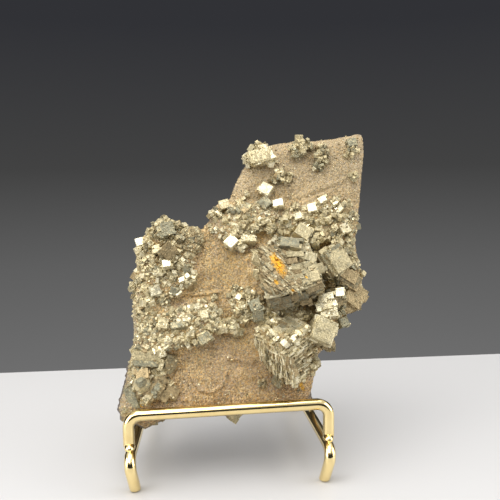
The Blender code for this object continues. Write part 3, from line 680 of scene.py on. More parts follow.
    def _slab(self) -> BMesh:
        """Plain slab: the outline extruded to the greatest thickness and cut into facets."""
        bm = bmesh.new()
        rim = [bm.verts.new((x, 0.0, z)) for x, z in self.outline]
        grown = bmesh.ops.extrude_face_region(bm, geom=[bm.faces.new(rim)])
        far = [item for item in grown["geom"] if isinstance(item, bmesh.types.BMVert)]
        bmesh.ops.translate(bm, verts=far, vec=(0.0, self.thick_low, 0.0))
        bmesh.ops.recalc_face_normals(bm, faces=bm.faces)
        for axis in (0, 2):
            place = min(vert.co[axis] for vert in bm.verts) + self.grid / 2.0
            high = max(vert.co[axis] for vert in bm.verts)
            normal = Vector((axis == 0, 0, axis == 2))
            while place < high:
                cut(bm, normal * place, normal, 0.01)
                place += self.grid
        for depth in self.side_cuts:
            cut(bm, (0, depth, 0), (0, 1, 0), 0.001)
        bmesh.ops.triangulate(bm, faces=bm.faces)
        bm.normal_update()
        return bm

    def _coarse(self) -> BMesh:
        """Slab with its broad shape: its front, its sides and its back moved into place."""
        bm = self._slab()
        close = 0.001
        for vert in bm.verts:
            x, y, z = vert.co
            surface = -self.front(x, z)
            if y < close:
                vert.co.y = surface
                continue
            depth = self.back(x, z)
            if y < self.thick_low - close:
                depth = surface + (depth - surface) * y / self.thick_low
                push = self.side_relief[0] * noise.noise(vert.co / self.side_relief[1])
                x, z = x + vert.normal.x * push, z + vert.normal.z * push
            x, z = self.flared(x, z, depth)
            vert.co = (x, depth, z)
        return bm

    def ridge(self, x: float, z: float) -> float:
        """Height of the low ridges on the bare rock at a place."""
        height = 0.0
        place = Vector((x, z))
        for ax, az, bx, bz, rise, half in self.ridges:
            away = off_line(place, Vector((ax, az)), Vector((bx, bz))) / half
            height = max(height, rise * math.exp(-away * away))
        return height

    def _relief(self, place: Vector, facing: float, grit: float) -> float:
        """How far the skin stands out: grain all over, ridges in front, fracture elsewhere."""
        (coarse, coarse_length), (fine, fine_length) = self.fracture
        fracture = (coarse * noise.noise(place / coarse_length)
                    + fine * abs(noise.noise(place / fine_length)))
        bed, bed_length = self.bedding
        ledge = bed * noise.noise(Vector((place.x / bed_length, place.y / bed_length,
                                          place.z / self.bed_height)))
        height, length = self.grain
        grain = height * noise.noise(place / length) + grit
        if place.y < self.front_depth:
            grain += facing * self.ridge(place.x, place.z)
        return grain + (1.0 - facing) * (fracture + ledge - self.sunk)

    def build(self, material: Material) -> Piece:
        """Fine rock mesh: the coarse slab remeshed and roughened.

        Args:
            material: Finish of the rock.
        Returns:
            The rock, standing for the specimen's solid.
        """
        guide = mesh_piece("rock_guide", self._coarse())
        remesh = guide.modifiers.new("skin", "REMESH")
        remesh.mode = "VOXEL"
        remesh.voxel_size = self.skin
        mesh = evaluated_mesh(guide)
        chance = random.Random(self.seed)
        hidden = []
        moves = []
        for vert in mesh.vertices:
            facing = ease(-vert.normal.y, *self.facing_span)
            amount = self._relief(vert.co, facing, chance.uniform(-self.grit, self.grit))
            moves.append(POSE @ (vert.co + vert.normal * amount))
            hidden.append(1.0 - facing)
        for vert, place in zip(mesh.vertices, moves):
            vert.co = place
        layer = mesh.attributes.new("hidden_rock", "FLOAT", "POINT")
        layer.data.foreach_set("value", hidden)
        mesh.shade_flat()
        rock = bpy.data.objects.new("matrix_rock", mesh)
        return finished(rock, material, "pyrite", "pyrite_specimen")


# ------------------------------------------------------------- the crystals


def turned(spin: float, nod: float, turn: float) -> Matrix:
    """Rotation of a crystal whose face looks along -Y when unturned.

    Args:
        spin: Degrees counter-clockwise in the plane of the face.
        nod: Degrees that the face looks up.
        turn: Degrees that the face looks to the right.
    Returns:
        The rotation.
    """
    return (Matrix.Rotation(math.radians(turn), 4, "Z")
            @ Matrix.Rotation(math.radians(-nod), 4, "X")
            @ Matrix.Rotation(math.radians(-spin), 4, "Y"))


def mirror_aim(x: float, z: float, rise: float = 3.0) -> Pair:
    """Nod and turn that make a face at a place throw the key light at the eye."""
    spot = POSE @ Vector((x, -rise, z))
    halfway = (EYE * MM - spot).normalized() + (KEY_LIGHT * MM - spot).normalized()
    local = (Matrix.Rotation(math.radians(LEAN_DEG), 3, "X") @ halfway).normalized()
    return math.degrees(math.asin(local.z)), math.degrees(math.atan2(local.x, -local.y))


@dataclass
class Mould:
    """One crystal shape about a unit in size, to be set many times."""

    points: np.ndarray
    faces: list[tuple[int, ...]]
    # Growth terraces: how much of a face each leaves as its tread, and its sharp riser.
    treads: ClassVar[Pair] = (0.04, 0.11)
    riser: ClassVar[float] = 0.004

    @classmethod
    def cast(cls, bm: BMesh) -> "Mould":
        """Take the shape from a bmesh, which is then freed."""
        bmesh.ops.recalc_face_normals(bm, faces=bm.faces)
        bm.verts.index_update()
        points = np.array([vert.co[:] for vert in bm.verts])
        faces = [tuple(vert.index for vert in face.verts) for face in bm.faces]
        bm.free()
        return cls(points, faces)

    @staticmethod
    def blank(chance: random.Random, skew: float) -> BMesh:
        """Cube whose corners are each moved a little."""
        bm = bmesh.new()
        bmesh.ops.create_cube(bm, size=1.0)
        for vert in bm.verts:
            vert.co += Vector([chance.uniform(-skew, skew) for _ in range(3)])
        return bm

    @classmethod
    def cubes(cls, chance: random.Random, count: int, skew: float = 0.05,
              bevel: float = 0.0) -> list["Mould"]:
        """Slightly uneven cubes, with bevelled edges where bevel is over 0."""
        moulds = []
        for _ in range(count):
            bm = cls.blank(chance, skew)
            if bevel > 0.0:
                bmesh.ops.bevel(bm, geom=bm.edges[:], offset=bevel, affect="EDGES", segments=1,
                                profile=0.5, material=-1)
            moulds.append(cls.cast(bm))
        return moulds

    @classmethod
    def terraced(cls, chance: random.Random, levels: int, step: float = 0.018) -> "Mould":
        """Cube whose faces carry low off-centre growth terraces, but for its root."""
        bm = cls.blank(chance, 0.02)
        for face in list(bm.faces):
            at_root = face.calc_center_median().y > 0.3
            if at_root:
                continue
            outward = face.normal.copy()
            for _ in range(levels):
                width = chance.uniform(*cls.treads)
                bmesh.ops.inset_individual(bm, faces=[face], thickness=cls.riser)
                bmesh.ops.translate(bm, verts=face.verts,
                                    vec=outward * step * chance.uniform(-0.5, 1.0))
                bmesh.ops.inset_individual(bm, faces=[face], thickness=width)
                slide = Vector([chance.uniform(-width, width) * 0.8 for _ in range(3)])
                slide -= outward * slide.dot(outward)
                bmesh.ops.translate(bm, verts=face.verts, vec=slide)
        return cls.cast(bm)


@dataclass
class Site:
    """Where one crystal stands: its front face's centre, its size and its angles."""

    centre: Vector
    size: Triple
    angles: Triple

    def point(self, *local: float) -> Vector:
        """Place given in the crystal's own frame, from its front face's centre."""
        return self.centre + turned(*self.angles) @ Vector(local)


class CrystalBed:
    """Crystals of one piece, gathered and then joined into one mesh."""

    # How far hue and gleam vary from crystal to crystal, and from face to face.
    crystal_spread: Pair = (0.06, 0.12)
    face_spread: Pair = (0.025, 0.04)

    def __init__(self, name: str, seed: int, uneven_seed: int | None = None) -> None:
        """Start an empty bed.

        Args:
            name: Name of the piece.
            seed: Seed of where its crystals go.
            uneven_seed: Seed of the small differences between their faces, or the next one.
        """
        self.name = name
        self.chance = random.Random(seed)
        self.uneven = random.Random(seed + 1 if uneven_seed is None else uneven_seed)
        self.points: list[np.ndarray] = []
        self.own: list[np.ndarray] = []
        self.faces: list[tuple[int, ...]] = []
        self.hue: list[float] = []
        self.gleam: list[float] = []
        self.count = 0

    def within(self, extent: float) -> float:
        """Random place along an extent that is centred on zero."""
        return self.chance.uniform(-0.5, 0.5) * extent

    def near(self, angles: Triple, spread: float) -> Matrix:
        """Rotation a little off the given angles."""
        return turned(*(angle + self.chance.gauss(0, spread) for angle in angles))

    def tumbled(self, reach: float) -> Matrix:
        """Rotation that lies anyhow, within a reach in degrees."""
        return turned(*(self.chance.uniform(-reach, reach) for _ in range(3)))

    def pick(self, options: Sequence[Any]) -> Any:
        """One of several, drawn at random."""
        return self.chance.choice(options)

    def grow(self, mould: Mould, face_centre: Vector, size: Triple, rotation: Matrix,
             look: Look) -> None:
        """Set one crystal with the centre of its front face at a point.

        Args:
            mould: Shape to set.
            face_centre: Centre of the front face, in the specimen's frame.
            size: Width, depth and height.
            rotation: Which way it is turned.
            look: Its tarnish.
        """
        place = (POSE @ Matrix.Translation(face_centre) @ rotation
                 @ Matrix.Translation((0.0, size[1] / 2.0, 0.0)) @ Matrix.Diagonal((*size, 1.0)))
        matrix = np.array(place)
        self.points.append(mould.points @ matrix[:3, :3].T + matrix[:3, 3])
        offset = np.array([self.uneven.uniform(0, 500) for _ in range(3)])
        order = self.uneven.choice(((0, 1, 2), (2, 0, 1), (1, 2, 0)))
        self.own.append((mould.points * np.array(size))[:, order] + offset)
        self.faces += [tuple(index + self.count for index in face) for face in mould.faces]
        self.count += len(mould.points)
        hue, gleam = look.value
        hue += self.uneven.gauss(0.0, self.crystal_spread[0])
        gleam += self.uneven.gauss(0.0, self.crystal_spread[1])
        for _ in mould.faces:
            self.hue.append(hue + self.uneven.gauss(0.0, self.face_spread[0]))
            shine = gleam + self.uneven.gauss(0.0, self.face_spread[1])
            self.gleam.append(min(max(shine, 0.0), 1.0))

    def build(self, material: Material) -> Piece:
        """Join the crystals into one finished piece."""
        mesh = bpy.data.meshes.new(self.name)
        mesh.from_pydata(np.concatenate(self.points).tolist(), [], self.faces)
        own = mesh.attributes.new("own_place", "FLOAT_VECTOR", "POINT")
        own.data.foreach_set("vector", np.concatenate(self.own).ravel())
        for label, values in (("hue", self.hue), ("gleam", self.gleam)):
            layer = mesh.attributes.new(label, "FLOAT", "FACE")
            layer.data.foreach_set("value", values)
        mesh.shade_flat()
        mesh.update()
        return finished(bpy.data.objects.new(self.name, mesh), material, "pyrite")


# Crystals set one by one: tarnish, x, z, height of the front face above the datum, width,
# height, then spin in the plane, nod upward and turn to the right in degrees. A small
# letter stands for a lump of finer crystals that fills the same room.
CRYSTALS = (
    # Right shoulder and the cubes beside the two stepped blocks.
    # The thin green plate at 28.9, 50.6 lies flush on the top of the brass cube beside it and
    # paints the blue-grey reflection of the dark room along that top: a painted reflection.
    ("B", 30.1, 48.4, 6.5, 5.3, 6.6, 30, 8, 10), ("G", 28.9, 50.6, 6.6, 5.1, 1.8, 30, 8, 10),
    ("K", 29.3, 47.9, 5.9, 5.4, 6.7, 30, 8, 8), ("N", 28.5, 47.6, 5.2, 5.6, 6.6, 29, 7, 9),
    ("k", 33.8, 50.6, 3, 3, 3.2, 20, 0, 25),
    ("T", 33.0, 44.4, 3.8, 5.6, 3.2, -31, 4, 14), ("N", 33.5, 43.2, 3.2, 6.0, 3.6, -31, 0, 14),
    ("T", 34.4, 42.8, 2.7, 5.0, 4.4, -31, 4, 16), ("T", 35.3, 38.7, 2.4, 5.2, 5.8, -36, 8, 12),
    ("T", 33.8, 36.6, 2.0, 4.6, 4.2, 22, 0, 8), ("n", 31.6, 41.8, 2.8, 3.2, 2.6, -30, -20, 5),
    ("t", 31, 35.4, 2.4, 4, 3.6, 15, 0, 0),
    ("G", 32, 31.8, 0.8, 2.6, 2.6, 20, 10, 15), ("n", 35.4, 47.2, 2.2, 3, 3.4, 30, 0, 20),
    # Cubes beside the lower stepped block.
    ("P", 25.2, 29.6, 7, 6, 6, -26, 6, 8), ("n", 27, 25.4, 3.8, 4.6, 3.6, -30, -15, 10),
    ("M", 30.4, 39.7, 4.2, 2.4, 2.4, 2, 10, -10), ("M", 27.6, 38.8, 4.4, 2.0, 2.0, 8, 0, -6),
    ("P", 25.6, 38.2, 4.5, 2.4, 2.4, -8, 10, -12), ("P", 26.8, 36.4, 4.7, 2.6, 2.4, 8, 14, -16),
    ("M", 28.6, 36.8, 4.2, 1.8, 1.8, 20, 0, 0), ("P", 24.8, 35.8, 4.5, 2.2, 2.4, 14, 12, -14),
    ("P", 26.2, 34.2, 4.4, 2.4, 2.4, -10, 14, -10), ("P", 28.2, 34.4, 4.3, 2.6, 2.4, 6, 10, -8),
    ("N", 30.5, 37.2, 3.7, 3.2, 2.4, 8, 0, 6), ("g", 30.6, 34.8, 3.0, 3.0, 3.0, 20, 0, 0),
    # Cubes round the lower stepped block.
    ("t", 21.4, 18.4, 2.6, 4.4, 2.6, 36, -10, 12), ("k", 22.6, 21.4, 3.0, 3.4, 2.6, 36, -6, 12),
    ("p", 19.0, 16.8, 2.8, 4.6, 2.2, 34, -10, 6), ("k", 9.4, 33.4, 2.6, 3, 3, 30, 8, -14),
    ("b", 19.8, 34, 2.8, 3.2, 3.2, 22, 10, 6), ("n", 8.6, 16, 1.6, 2.2, 1.6, 20, -15, -8),
    # The brown lump at 13.6, 15.8 faces down and fills the dark fissure under the lower block: a
    # dark piece standing in for shade, painted shade.
    ("n", 13.6, 15.8, 2.4, 3.0, 2.4, 35, -30, 8),
    # Small groups left of the blocks.
    ("G", 7.6, 37, 2.8, 3, 3, 20, 10, -12), ("G", 8.4, 34.2, 2.8, 2.8, 3.2, 5, -5, 0),
    ("b", 5.2, 40.4, 2.6, 2.6, 2.4, 40, 10, -10), ("b", 6.6, 39.4, 2.4, 2, 2, 10, 20, 10),
    ("p", 4.4, 36.8, 2.2, 2.4, 2.4, 28, 10, -5), ("k", 5.4, 34.4, 1.8, 2, 2, 50, 0, 0),
    ("k", -3.2, 39.4, 1.4, 1.8, 2, 15, 10, 0), ("k", 2.4, 42, 1, 1.8, 1.6, 30, 10, 0),
    # Long lump below the second lobe, and its tip cube.
    ("b", -0.4, 32.2, 2.6, 3, 2.6, -20, 10, -10), ("p", 1.6, 31.2, 3, 3.2, 2.8, -30, 5, 5),
    ("k", 3.4, 30.2, 2.4, 2.6, 2.4, -10, 10, 15), ("G", -5.8, 28.8, 4, 3.2, 2.4, 32, 12, 8),
    ("b", -8.2, 28.2, 3.4, 2.2, 2.4, 20, 0, -8), ("b", -3, 31.6, 3.2, 1.8, 1.8, 40, 15, 0),
    # Second lobe.
    ("B", -16.8, 32.9, 3.6, 2.6, 2.6, -12, 6, 2), ("G", -13, 32.4, 3.6, 3.6, 1.8, 8, 25, 0),
    ("b", -10.4, 33.4, 3.6, 3, 2.6, 35, 5, 10), ("P", -6, 35, 3.2, 2.2, 2.2, 12, 12, 0),
    ("p", -2.8, 35.8, 2.8, 2.2, 2.4, 45, 0, 5), ("b", -12.4, 28.8, 4, 2.4, 2.2, 22, 20, -6),
    ("p", -15.6, 28.4, 3.6, 2.2, 2.2, 52, 10, 4), ("b", -19.2, 29.2, 3, 2.4, 2.4, 15, 5, -14),
    ("p", -9.4, 30.6, 4.2, 2, 2.2, -22, 15, 12), ("M", -18.6, 26.2, 2.8, 2.2, 2, 30, 25, -10),
    ("k", -21.8, 32.6, 2.2, 2.4, 2.4, 42, 0, -20), ("k", -14.2, 35.6, 3, 2.2, 2, 5, 20, 0),
    # Lower left: flat cubes, blunt knob and crossing plates.
    ("K", -21.2, 23.8, 2.5, 7.2, 3.8, -3, -8, -5), ("G", -21.6, 22.6, 2.6, 6.6, 1.6, -3, -10, -4),
    ("k", -24.6, 26.6, 0.8, 2.6, 2.4, 12, 0, -20), ("N", -14.7, 22.1, 2.6, 2.8, 2.9, -14, -30, 14),
    ("G", -15.0, 22.4, 2.8, 2.2, 1.8, -14, -22, 12), ("B", -17.4, 22.2, 2.6, 1.2, 3.0, -20, 4, 6),
    ("b", -17.3, 19.9, 2.3, 1.6, 1.4, 30, 0, 0), ("k", -17.2, 24.8, 2.4, 2.4, 2.2, 20, 15, 0),
    ("O", -22.6, 17.5, 4.4, 2.7, 2.7, 22, -16, 0), ("U", -22.6, 17.4, 3.6, 4.2, 4.2, 22, 0, -4),
    ("T", -22.4, 20.0, 3.0, 3.2, 2.6, 10, 22, -6), ("T", -19.7, 15.6, 2.3, 5.4, 3.4, 42, -6, -10),
    ("T", -18.0, 14.8, 1.9, 5.4, 2.4, -35, -8, 8), ("G", -18.9, 16.0, 3.0, 3.2, 1.7, 52, 8, -10),
    ("T", -17.5, 18.0, 2.2, 2.6, 2.2, 20, 6, 0), ("B", -21.4, 13.8, 2.2, 2.4, 1.8, 46, 8, -10),
    ("T", -14.9, 14.8, 1.3, 3.4, 3.0, -25, -8, 12),
    ("t", -15.8, 17.4, 1.5, 3.0, 2.4, 15, 5, 5), ("G", -25.4, 13.6, 0.3, 2.8, 5.6, 16, -12, -20),
    ("t", -26.8, 10.4, -0.6, 3.4, 4.2, -25, -12, -20), ("t", -24.4, 21, 1.6, 2.4, 3.8, 6, 0, -30),
    # Hanging tips under the front wire.
    ("n", -21.4, 7.4, -2.4, 5, 3.2, 30, -20, 0), ("n", -18.6, 8.2, -2.2, 4.4, 2.6, 18, -15, 8),
    ("K", 1.6, 8.6, -1.6, 3.4, 3.4, 47, -14, 6),
    # Upper left lobe: the big brown cube stands corner up.
    ("N", -14.9, 51.5, 5.4, 3.7, 3.7, 45, -14, 6), ("G", -15.2, 58, 3.4, 3.4, 3.6, 14, 4, 6),
    ("g", -16.6, 56.4, 3.2, 2.6, 2.4, 34, 8, 0), ("K", -17.2, 58.8, 3.0, 2.4, 2.6, 26, 10, -8),
    ("k", -17.8, 59.4, 2.8, 2.8, 2.8, 38, 10, -12), ("k", -20, 57.2, 2.4, 2.8, 2.6, 20, 5, -20),
    ("k", -16, 61, 1.2, 2.6, 2.4, 30, 15, 0), ("k", -12.6, 59.2, 2, 2.6, 2.6, 50, 5, 10),
    ("M", -22.8, 54.8, 2.4, 2.2, 2.4, 12, 6, -14), ("b", -20.6, 54, 3, 2.6, 2.6, 35, 0, -8),
    ("b", -22.8, 51.4, 2.2, 2.6, 2.8, 25, -15, -18), ("B", -18.4, 52.6, 3.4, 2.2, 2.4, 10, 15, -10),
    ("n", -11.8, 56, 3.2, 2.6, 2.6, 28, 12, 8), ("b", -19.4, 50.4, 3.2, 2.2, 2.2, 48, 10, 0),
    # Left band and its spur.
    ("M", -15.6, 48.6, 4.8, 2.4, 2.0, 8, 10, -8), ("b", -13.4, 49.8, 3.4, 2.2, 1.8, 24, 20, 6),
    ("p", -11.6, 48.4, 3, 2.4, 2.4, 36, 10, 10), ("M", -11.8, 44.3, 3, 1.6, 1.3, 16, 14, 12),
    ("M", -10.3, 45.3, 2.8, 1.2, 1.3, 40, 0, 0), ("p", -11.2, 44.8, 2.6, 2.6, 2.2, 30, 0, 0),
    ("p", -14.4, 45.6, 3.4, 2.2, 2.2, 44, 8, 0), ("P", -18.8, 41.6, 3, 2.8, 2.6, 18, 0, 6),
    ("b", -21.2, 42.4, 3.2, 2.4, 2.6, -10, 10, -6), ("b", -21.4, 39.2, 2.8, 2.8, 2.6, 14, 18, -10),
    ("b", -21, 47.4, 2.8, 2.6, 2.2, 30, 5, -12), ("p", -18, 46.4, 3.2, 2.4, 2.4, 8, 22, 0),
    ("k", -23.8, 44.4, 1.8, 2.6, 2.4, 20, -10, -25), ("k", -25.4, 42.6, 0.4, 3, 2.2, 24, 6, -20),
    ("k", -23, 49, 2, 2.4, 2.4, 40, 5, -18), ("k", -16.6, 38.8, 2.4, 2.4, 2.4, 26, -5, 8),
    ("k", -23.4, 36.6, 1.8, 2.4, 2.4, 12, 5, -20),
    # Top edge of the slab.
    ("B", 10.4, 78.0, 3.0, 5.6, 3.6, 10, 2, -4), ("P", 12.6, 78.4, 2.7, 3.0, 3.4, 24, 10, -10),
    ("K", 8.8, 78.2, 2.6, 3.4, 3.0, 18, 4, -4),
    ("B", 11.4, 80.6, 2.0, 2.6, 2.0, 16, 0, 0), ("B", 8.8, 77.2, 2.0, 2.2, 2.2, 40, 8, -6),
    ("P", 11.6, 77.0, 2.1, 2.2, 1.8, 12, 6, 6), ("p", 13.6, 76.8, 2, 2.4, 2.6, 42, 14, 10),
    ("p", 7.2, 78, 1.8, 3, 2.8, 34, 10, -14), ("k", 10.2, 81.6, 0.8, 3, 3, 40, 20, 0),
    ("k", 21.6, 82, 2.4, 3.2, 3.4, 18, 14, -4), ("k", 19.8, 80.4, 2.2, 2.2, 2.6, 40, 5, -16),
    ("k", 23, 79.8, 2.6, 2.6, 2.8, 10, -4, 12), ("g", 21, 78.6, 2, 2.6, 2.2, 30, -18, 0),
    ("k", 24.8, 81.4, 1.8, 2, 2.2, 50, 0, 14), ("n", 28.6, 80.6, 1.6, 2.4, 2.8, 36, 16, 0),
    ("k", 27, 78, 2, 2.4, 3.8, -12, 4, -14), ("n", 29.8, 79.2, 1.6, 1.8, 2, 22, -8, 14),
    ("g", 26.8, 74.8, 1.6, 2.8, 2, 12, -12, 0), ("k", 29.2, 76.8, 1.4, 1.6, 1.8, 44, 0, 10),
    ("k", 37.4, 79.8, 1.6, 2.8, 2.8, 28, 5, 10), ("G", 37, 82.2, 1.4, 2.6, 2.4, 12, 15, 4),
    ("k", 35.2, 78.4, 0.9, 1.6, 1.4, 10, 0, 0), ("k", 37.4, 72.6, 1, 2.4, 2.4, 34, 5, 14),
    # Groups on the bare upper face.
    ("k", 15.8, 74, 2.2, 2.6, 2.8, 14, 10, -4), ("n", 14.4, 71.4, 2, 2.4, 2.2, 36, -10, -12),
    ("k", 17.4, 71.6, 2, 3, 2, -24, 12, 10), ("k", 19.2, 73, 1.4, 1.6, 1.6, 48, 0, 12),
    ("P", 11.7, 68.9, 2.2, 3.2, 3, -34, 12, -6), ("b", 6.7, 67.9, 1.4, 1.8, 1.8, 22, 8, 0),
    # Diagonal band.
    ("G", 11.4, 65, 2.4, 3, 2.8, 38, 10, -8), ("M", 14.8, 64.8, 2.6, 3, 2.2, 8, 14, 6),
    ("k", 19.6, 64, 1.8, 1.8, 1.8, 12, 0, 0), ("M", 24.2, 63.3, 2.6, 2.4, 2.6, 10, 8, -6),
    ("M", 27.4, 65.6, 2.2, 2.4, 2, 26, 10, 4), ("M", 30.8, 65, 2, 1.8, 1.8, 34, 5, 8),
    ("k", 31.6, 66.2, 2, 1.8, 3, -22, 10, 10), ("k", 34.6, 64.4, 2.4, 2.6, 2.2, 32, 0, 10),
    ("k", 36.2, 61.8, 1.8, 2.2, 2.2, 18, 5, 18), ("B", 21.4, 56.4, 4.6, 4, 3.6, -34, 8, 6),
    ("k", 24.8, 54, 4, 2.8, 2.6, -26, 16, 8), ("P", 33.2, 57.2, 3.2, 2.6, 2.6, 24, 10, 12),
    ("b", 30.2, 57.4, 3.2, 2, 2, 40, 8, 0), ("k", 34.8, 53.8, 2.6, 2.4, 2.2, 36, -6, 16),
    ("k", 12.5, 57.6, 3.4, 2.4, 2.6, 4, 10, -4), ("k", 9, 58.2, 2.8, 2.2, 3, -32, 0, -10),
    ("k", 5.4, 59.6, 2.6, 2.8, 2.4, 42, 10, -8), ("b", 16.6, 60.2, 3, 2.2, 2.2, 30, 12, 0),
    ("P", 20.4, 61, 3, 2.2, 2, 16, 16, 6), ("b", 28, 60.6, 3, 2.6, 2.4, -18, 10, 0),
    ("b", 31.6, 60.8, 2.8, 2.2, 2.2, 46, 6, 8), ("k", 24.4, 59.6, 3.2, 2.2, 2.4, 28, 14, -4),
    ("b", 27.4, 55.2, 3.6, 2.4, 2.4, 12, 10, 10), ("k", 30.6, 53.6, 3.4, 2.4, 2.2, 38, 5, 8),
    # Bright facets on the left rim of the band.
    ("M", 1.8, 54.4, 2.6, 3.4, 3.2, 44, 4, -6), ("P", 6.7, 55.2, 3, 3.8, 2, -2, 18, 4),
    ("b", 3, 57, 2.4, 2.6, 2.4, 20, 10, 0), ("P", 4.8, 53, 2.2, 2.2, 2, 46, 6, 8),
    # Steps down the notch on the left.
    ("p", -2.6, 62.4, 1.6, 2.8, 2.6, 26, 10, -14), ("B", 0.2, 64.8, 1.6, 2.6, 2.4, 14, 4, -4),
    ("k", 2.2, 63.2, 1.8, 2.4, 2.2, 40, 10, 4), ("k", -0.4, 61.4, 1.4, 2.2, 2, 34, 5, 0),
    ("b", 4.6, 65.6, 1.4, 2, 2, 22, 10, 0),
)

# What each letter stands for; O and U are blunt crystals with broad bevels.
LOOKS = {"P": Look.PALE, "B": Look.BRASS, "K": Look.KHAKI, "G": Look.GREEN, "N": Look.BROWN,
         "T": Look.TAN, "M": Look.MIRROR, "O": Look.GREEN, "U": Look.KHAKI}
BLUNT = "OU"


@dataclass
class NamedCrystals:
    """Large crystals and lumps set one by one."""

    rock: Rock
    rim: float = 0.5
    rim_root: float = -1.5
    root: float = 1.5
    terraced_over: float = 2.3
    lump_count: int = 18
    dull: tuple[Look, ...] = (Look.KHAKI, Look.BRASS, Look.BROWN)
    seeds: tuple[int, int] = (23, 31)

    def build(self, material: Material) -> Piece:
        """Set every named crystal.

        Args:
            material: Finish of the crystals.
        Returns:
            The joined piece.
        """
        bed = CrystalBed("large_crystals", *self.seeds)
        plain = Mould.cubes(bed.chance, 6, bevel=0.05)
        stepped = [Mould.terraced(bed.chance, levels) for levels in (1, 2, 2, 3, 3)]
        tiny = Mould.cubes(bed.chance, 5, skew=0.1)
        blunt = Mould.cubes(bed.chance, 2, skew=0.03, bevel=0.27)
        for letter, x, z, rise, width, height, spin, nod, turn in CRYSTALS:
            look = LOOKS[letter.upper()]
            if look is Look.MIRROR:
                nod, turn = mirror_aim(x, z)
            inner = self.rock.rim_distance(x, z) > self.rim
            root = self.rock.front(x, z) if inner else self.rim_root
            depth = max(width, height, rise - root + self.root)
            site = Site(Vector((x, -rise, z)), (width, depth, height), (spin, nod, turn))
            if letter.islower():
                self._lump(bed, plain, site, look)
                continue
            small = min(width, height) < self.terraced_over or look is Look.MIRROR
            single = blunt if letter in BLUNT else plain if small else stepped
            bed.grow(bed.pick(single), site.centre, site.size, turned(*site.angles), look)
            if letter in BLUNT:
                continue
            self._satellites(bed, plain, site, look)
            if look is not Look.MIRROR:
                self._crumbs(bed, tiny, site)
        return bed.build(material)

    def _crumbs(self, bed: CrystalBed, moulds: list[Mould], site: Site) -> None:
        """Scatter crumbs of crystal over the front and along the rim of a large one."""
        width, _, height = site.size
        for _ in range(int(4 + 1.6 * width * height ** 0.5)):
            edge = bed.chance.uniform(0.25, 0.6)
            place = [bed.within(width), bed.chance.uniform(-0.12, 0.25), bed.within(height)]
            if bed.chance.random() < 0.65:
                axis = bed.pick((0, 2))
                place[axis] = bed.pick((-0.5, 0.5)) * site.size[axis]
                place[1] = bed.chance.uniform(-0.1, 1.2)
            twist = bed.tumbled(60)
            bed.grow(bed.pick(moulds), site.point(*place), (edge, edge, edge), twist,
                     bed.pick(self.dull))

    def _satellites(self, bed: CrystalBed, moulds: list[Mould], site: Site, look: Look) -> None:
        """Set small cubes grown into the edges of a large one."""
        width, _, height = site.size
        for _ in range(bed.chance.randint(3, 6)):
            edge = min(width, height) * bed.chance.uniform(0.22, 0.5)
            place = [bed.within(width), edge * bed.chance.uniform(0.2, 0.9), bed.within(height)]
            axis = bed.pick((0, 2))
            place[axis] = bed.pick((-1, 1)) * site.size[axis] * bed.chance.uniform(0.36, 0.52)
            twist = bed.near(site.angles, 5)
            kind = bed.pick(self.dull[:2]) if look is Look.MIRROR else look
            bed.grow(bed.pick(moulds), site.point(*place), (edge, edge, edge), twist, kind)

    def _lump(self, bed: CrystalBed, moulds: list[Mould], site: Site, look: Look) -> None:
        """Fill the room of one crystal with finer ones that lean every way."""
        width, _, height = site.size
        finest = min(width, height)
        for _ in range(self.lump_count):
            edge = finest * bed.chance.uniform(0.26, 0.55)
            place = (bed.within(width - edge * 0.8), bed.chance.random() ** 1.5 * finest * 0.7,
                     bed.within(height - edge * 0.8))
            twist = bed.near(site.angles, 26)
            kind = look if bed.chance.random() < 0.7 else bed.pick(self.dull)
            stretch = bed.chance.uniform(0.7, 1.3)
            bed.grow(bed.pick(moulds), site.point(*place),
                     (edge * stretch, edge * 1.3, edge / stretch), twist, kind)


@dataclass
class RockGrains:
    """Fine grains of pyrite scattered over the bare rock."""

    rock: Rock
    count: int = 4200
    smallest: float = 0.18
    largest: float = 0.42
    across: Pair = (-29.0, 41.0)
    levels: Pair = (6.0, 85.0)
    seed: int = 83
    looks: tuple[Look, ...] = (Look.BROWN, Look.TAN, Look.TAN, Look.KHAKI, Look.KHAKI, Look.BRASS,
                               Look.PALE)

    def build(self, material: Material) -> Piece:
        """Scatter the grains.

        Args:
            material: Finish of the grains.
        Returns:
            The joined piece.
        """
        bed = CrystalBed("rock_grains", self.seed)
        moulds = Mould.cubes(bed.chance, 8, skew=0.12)
        for _ in range(self.count):
            x, z = bed.chance.uniform(*self.across), bed.chance.uniform(*self.levels)
            size = self.smallest + (self.largest - self.smallest) * bed.chance.random() ** 2
            twist = bed.tumbled(70)
            look = bed.pick(self.looks)
            if not self.rock.inside(x, z):
                continue
            rise = self.rock.front(x, z) + self.rock.ridge(x, z) + size * 0.05
            bed.grow(bed.pick(moulds), Vector((x, -rise, z)), (size, size, size), twist, look)
        return bed.build(material)


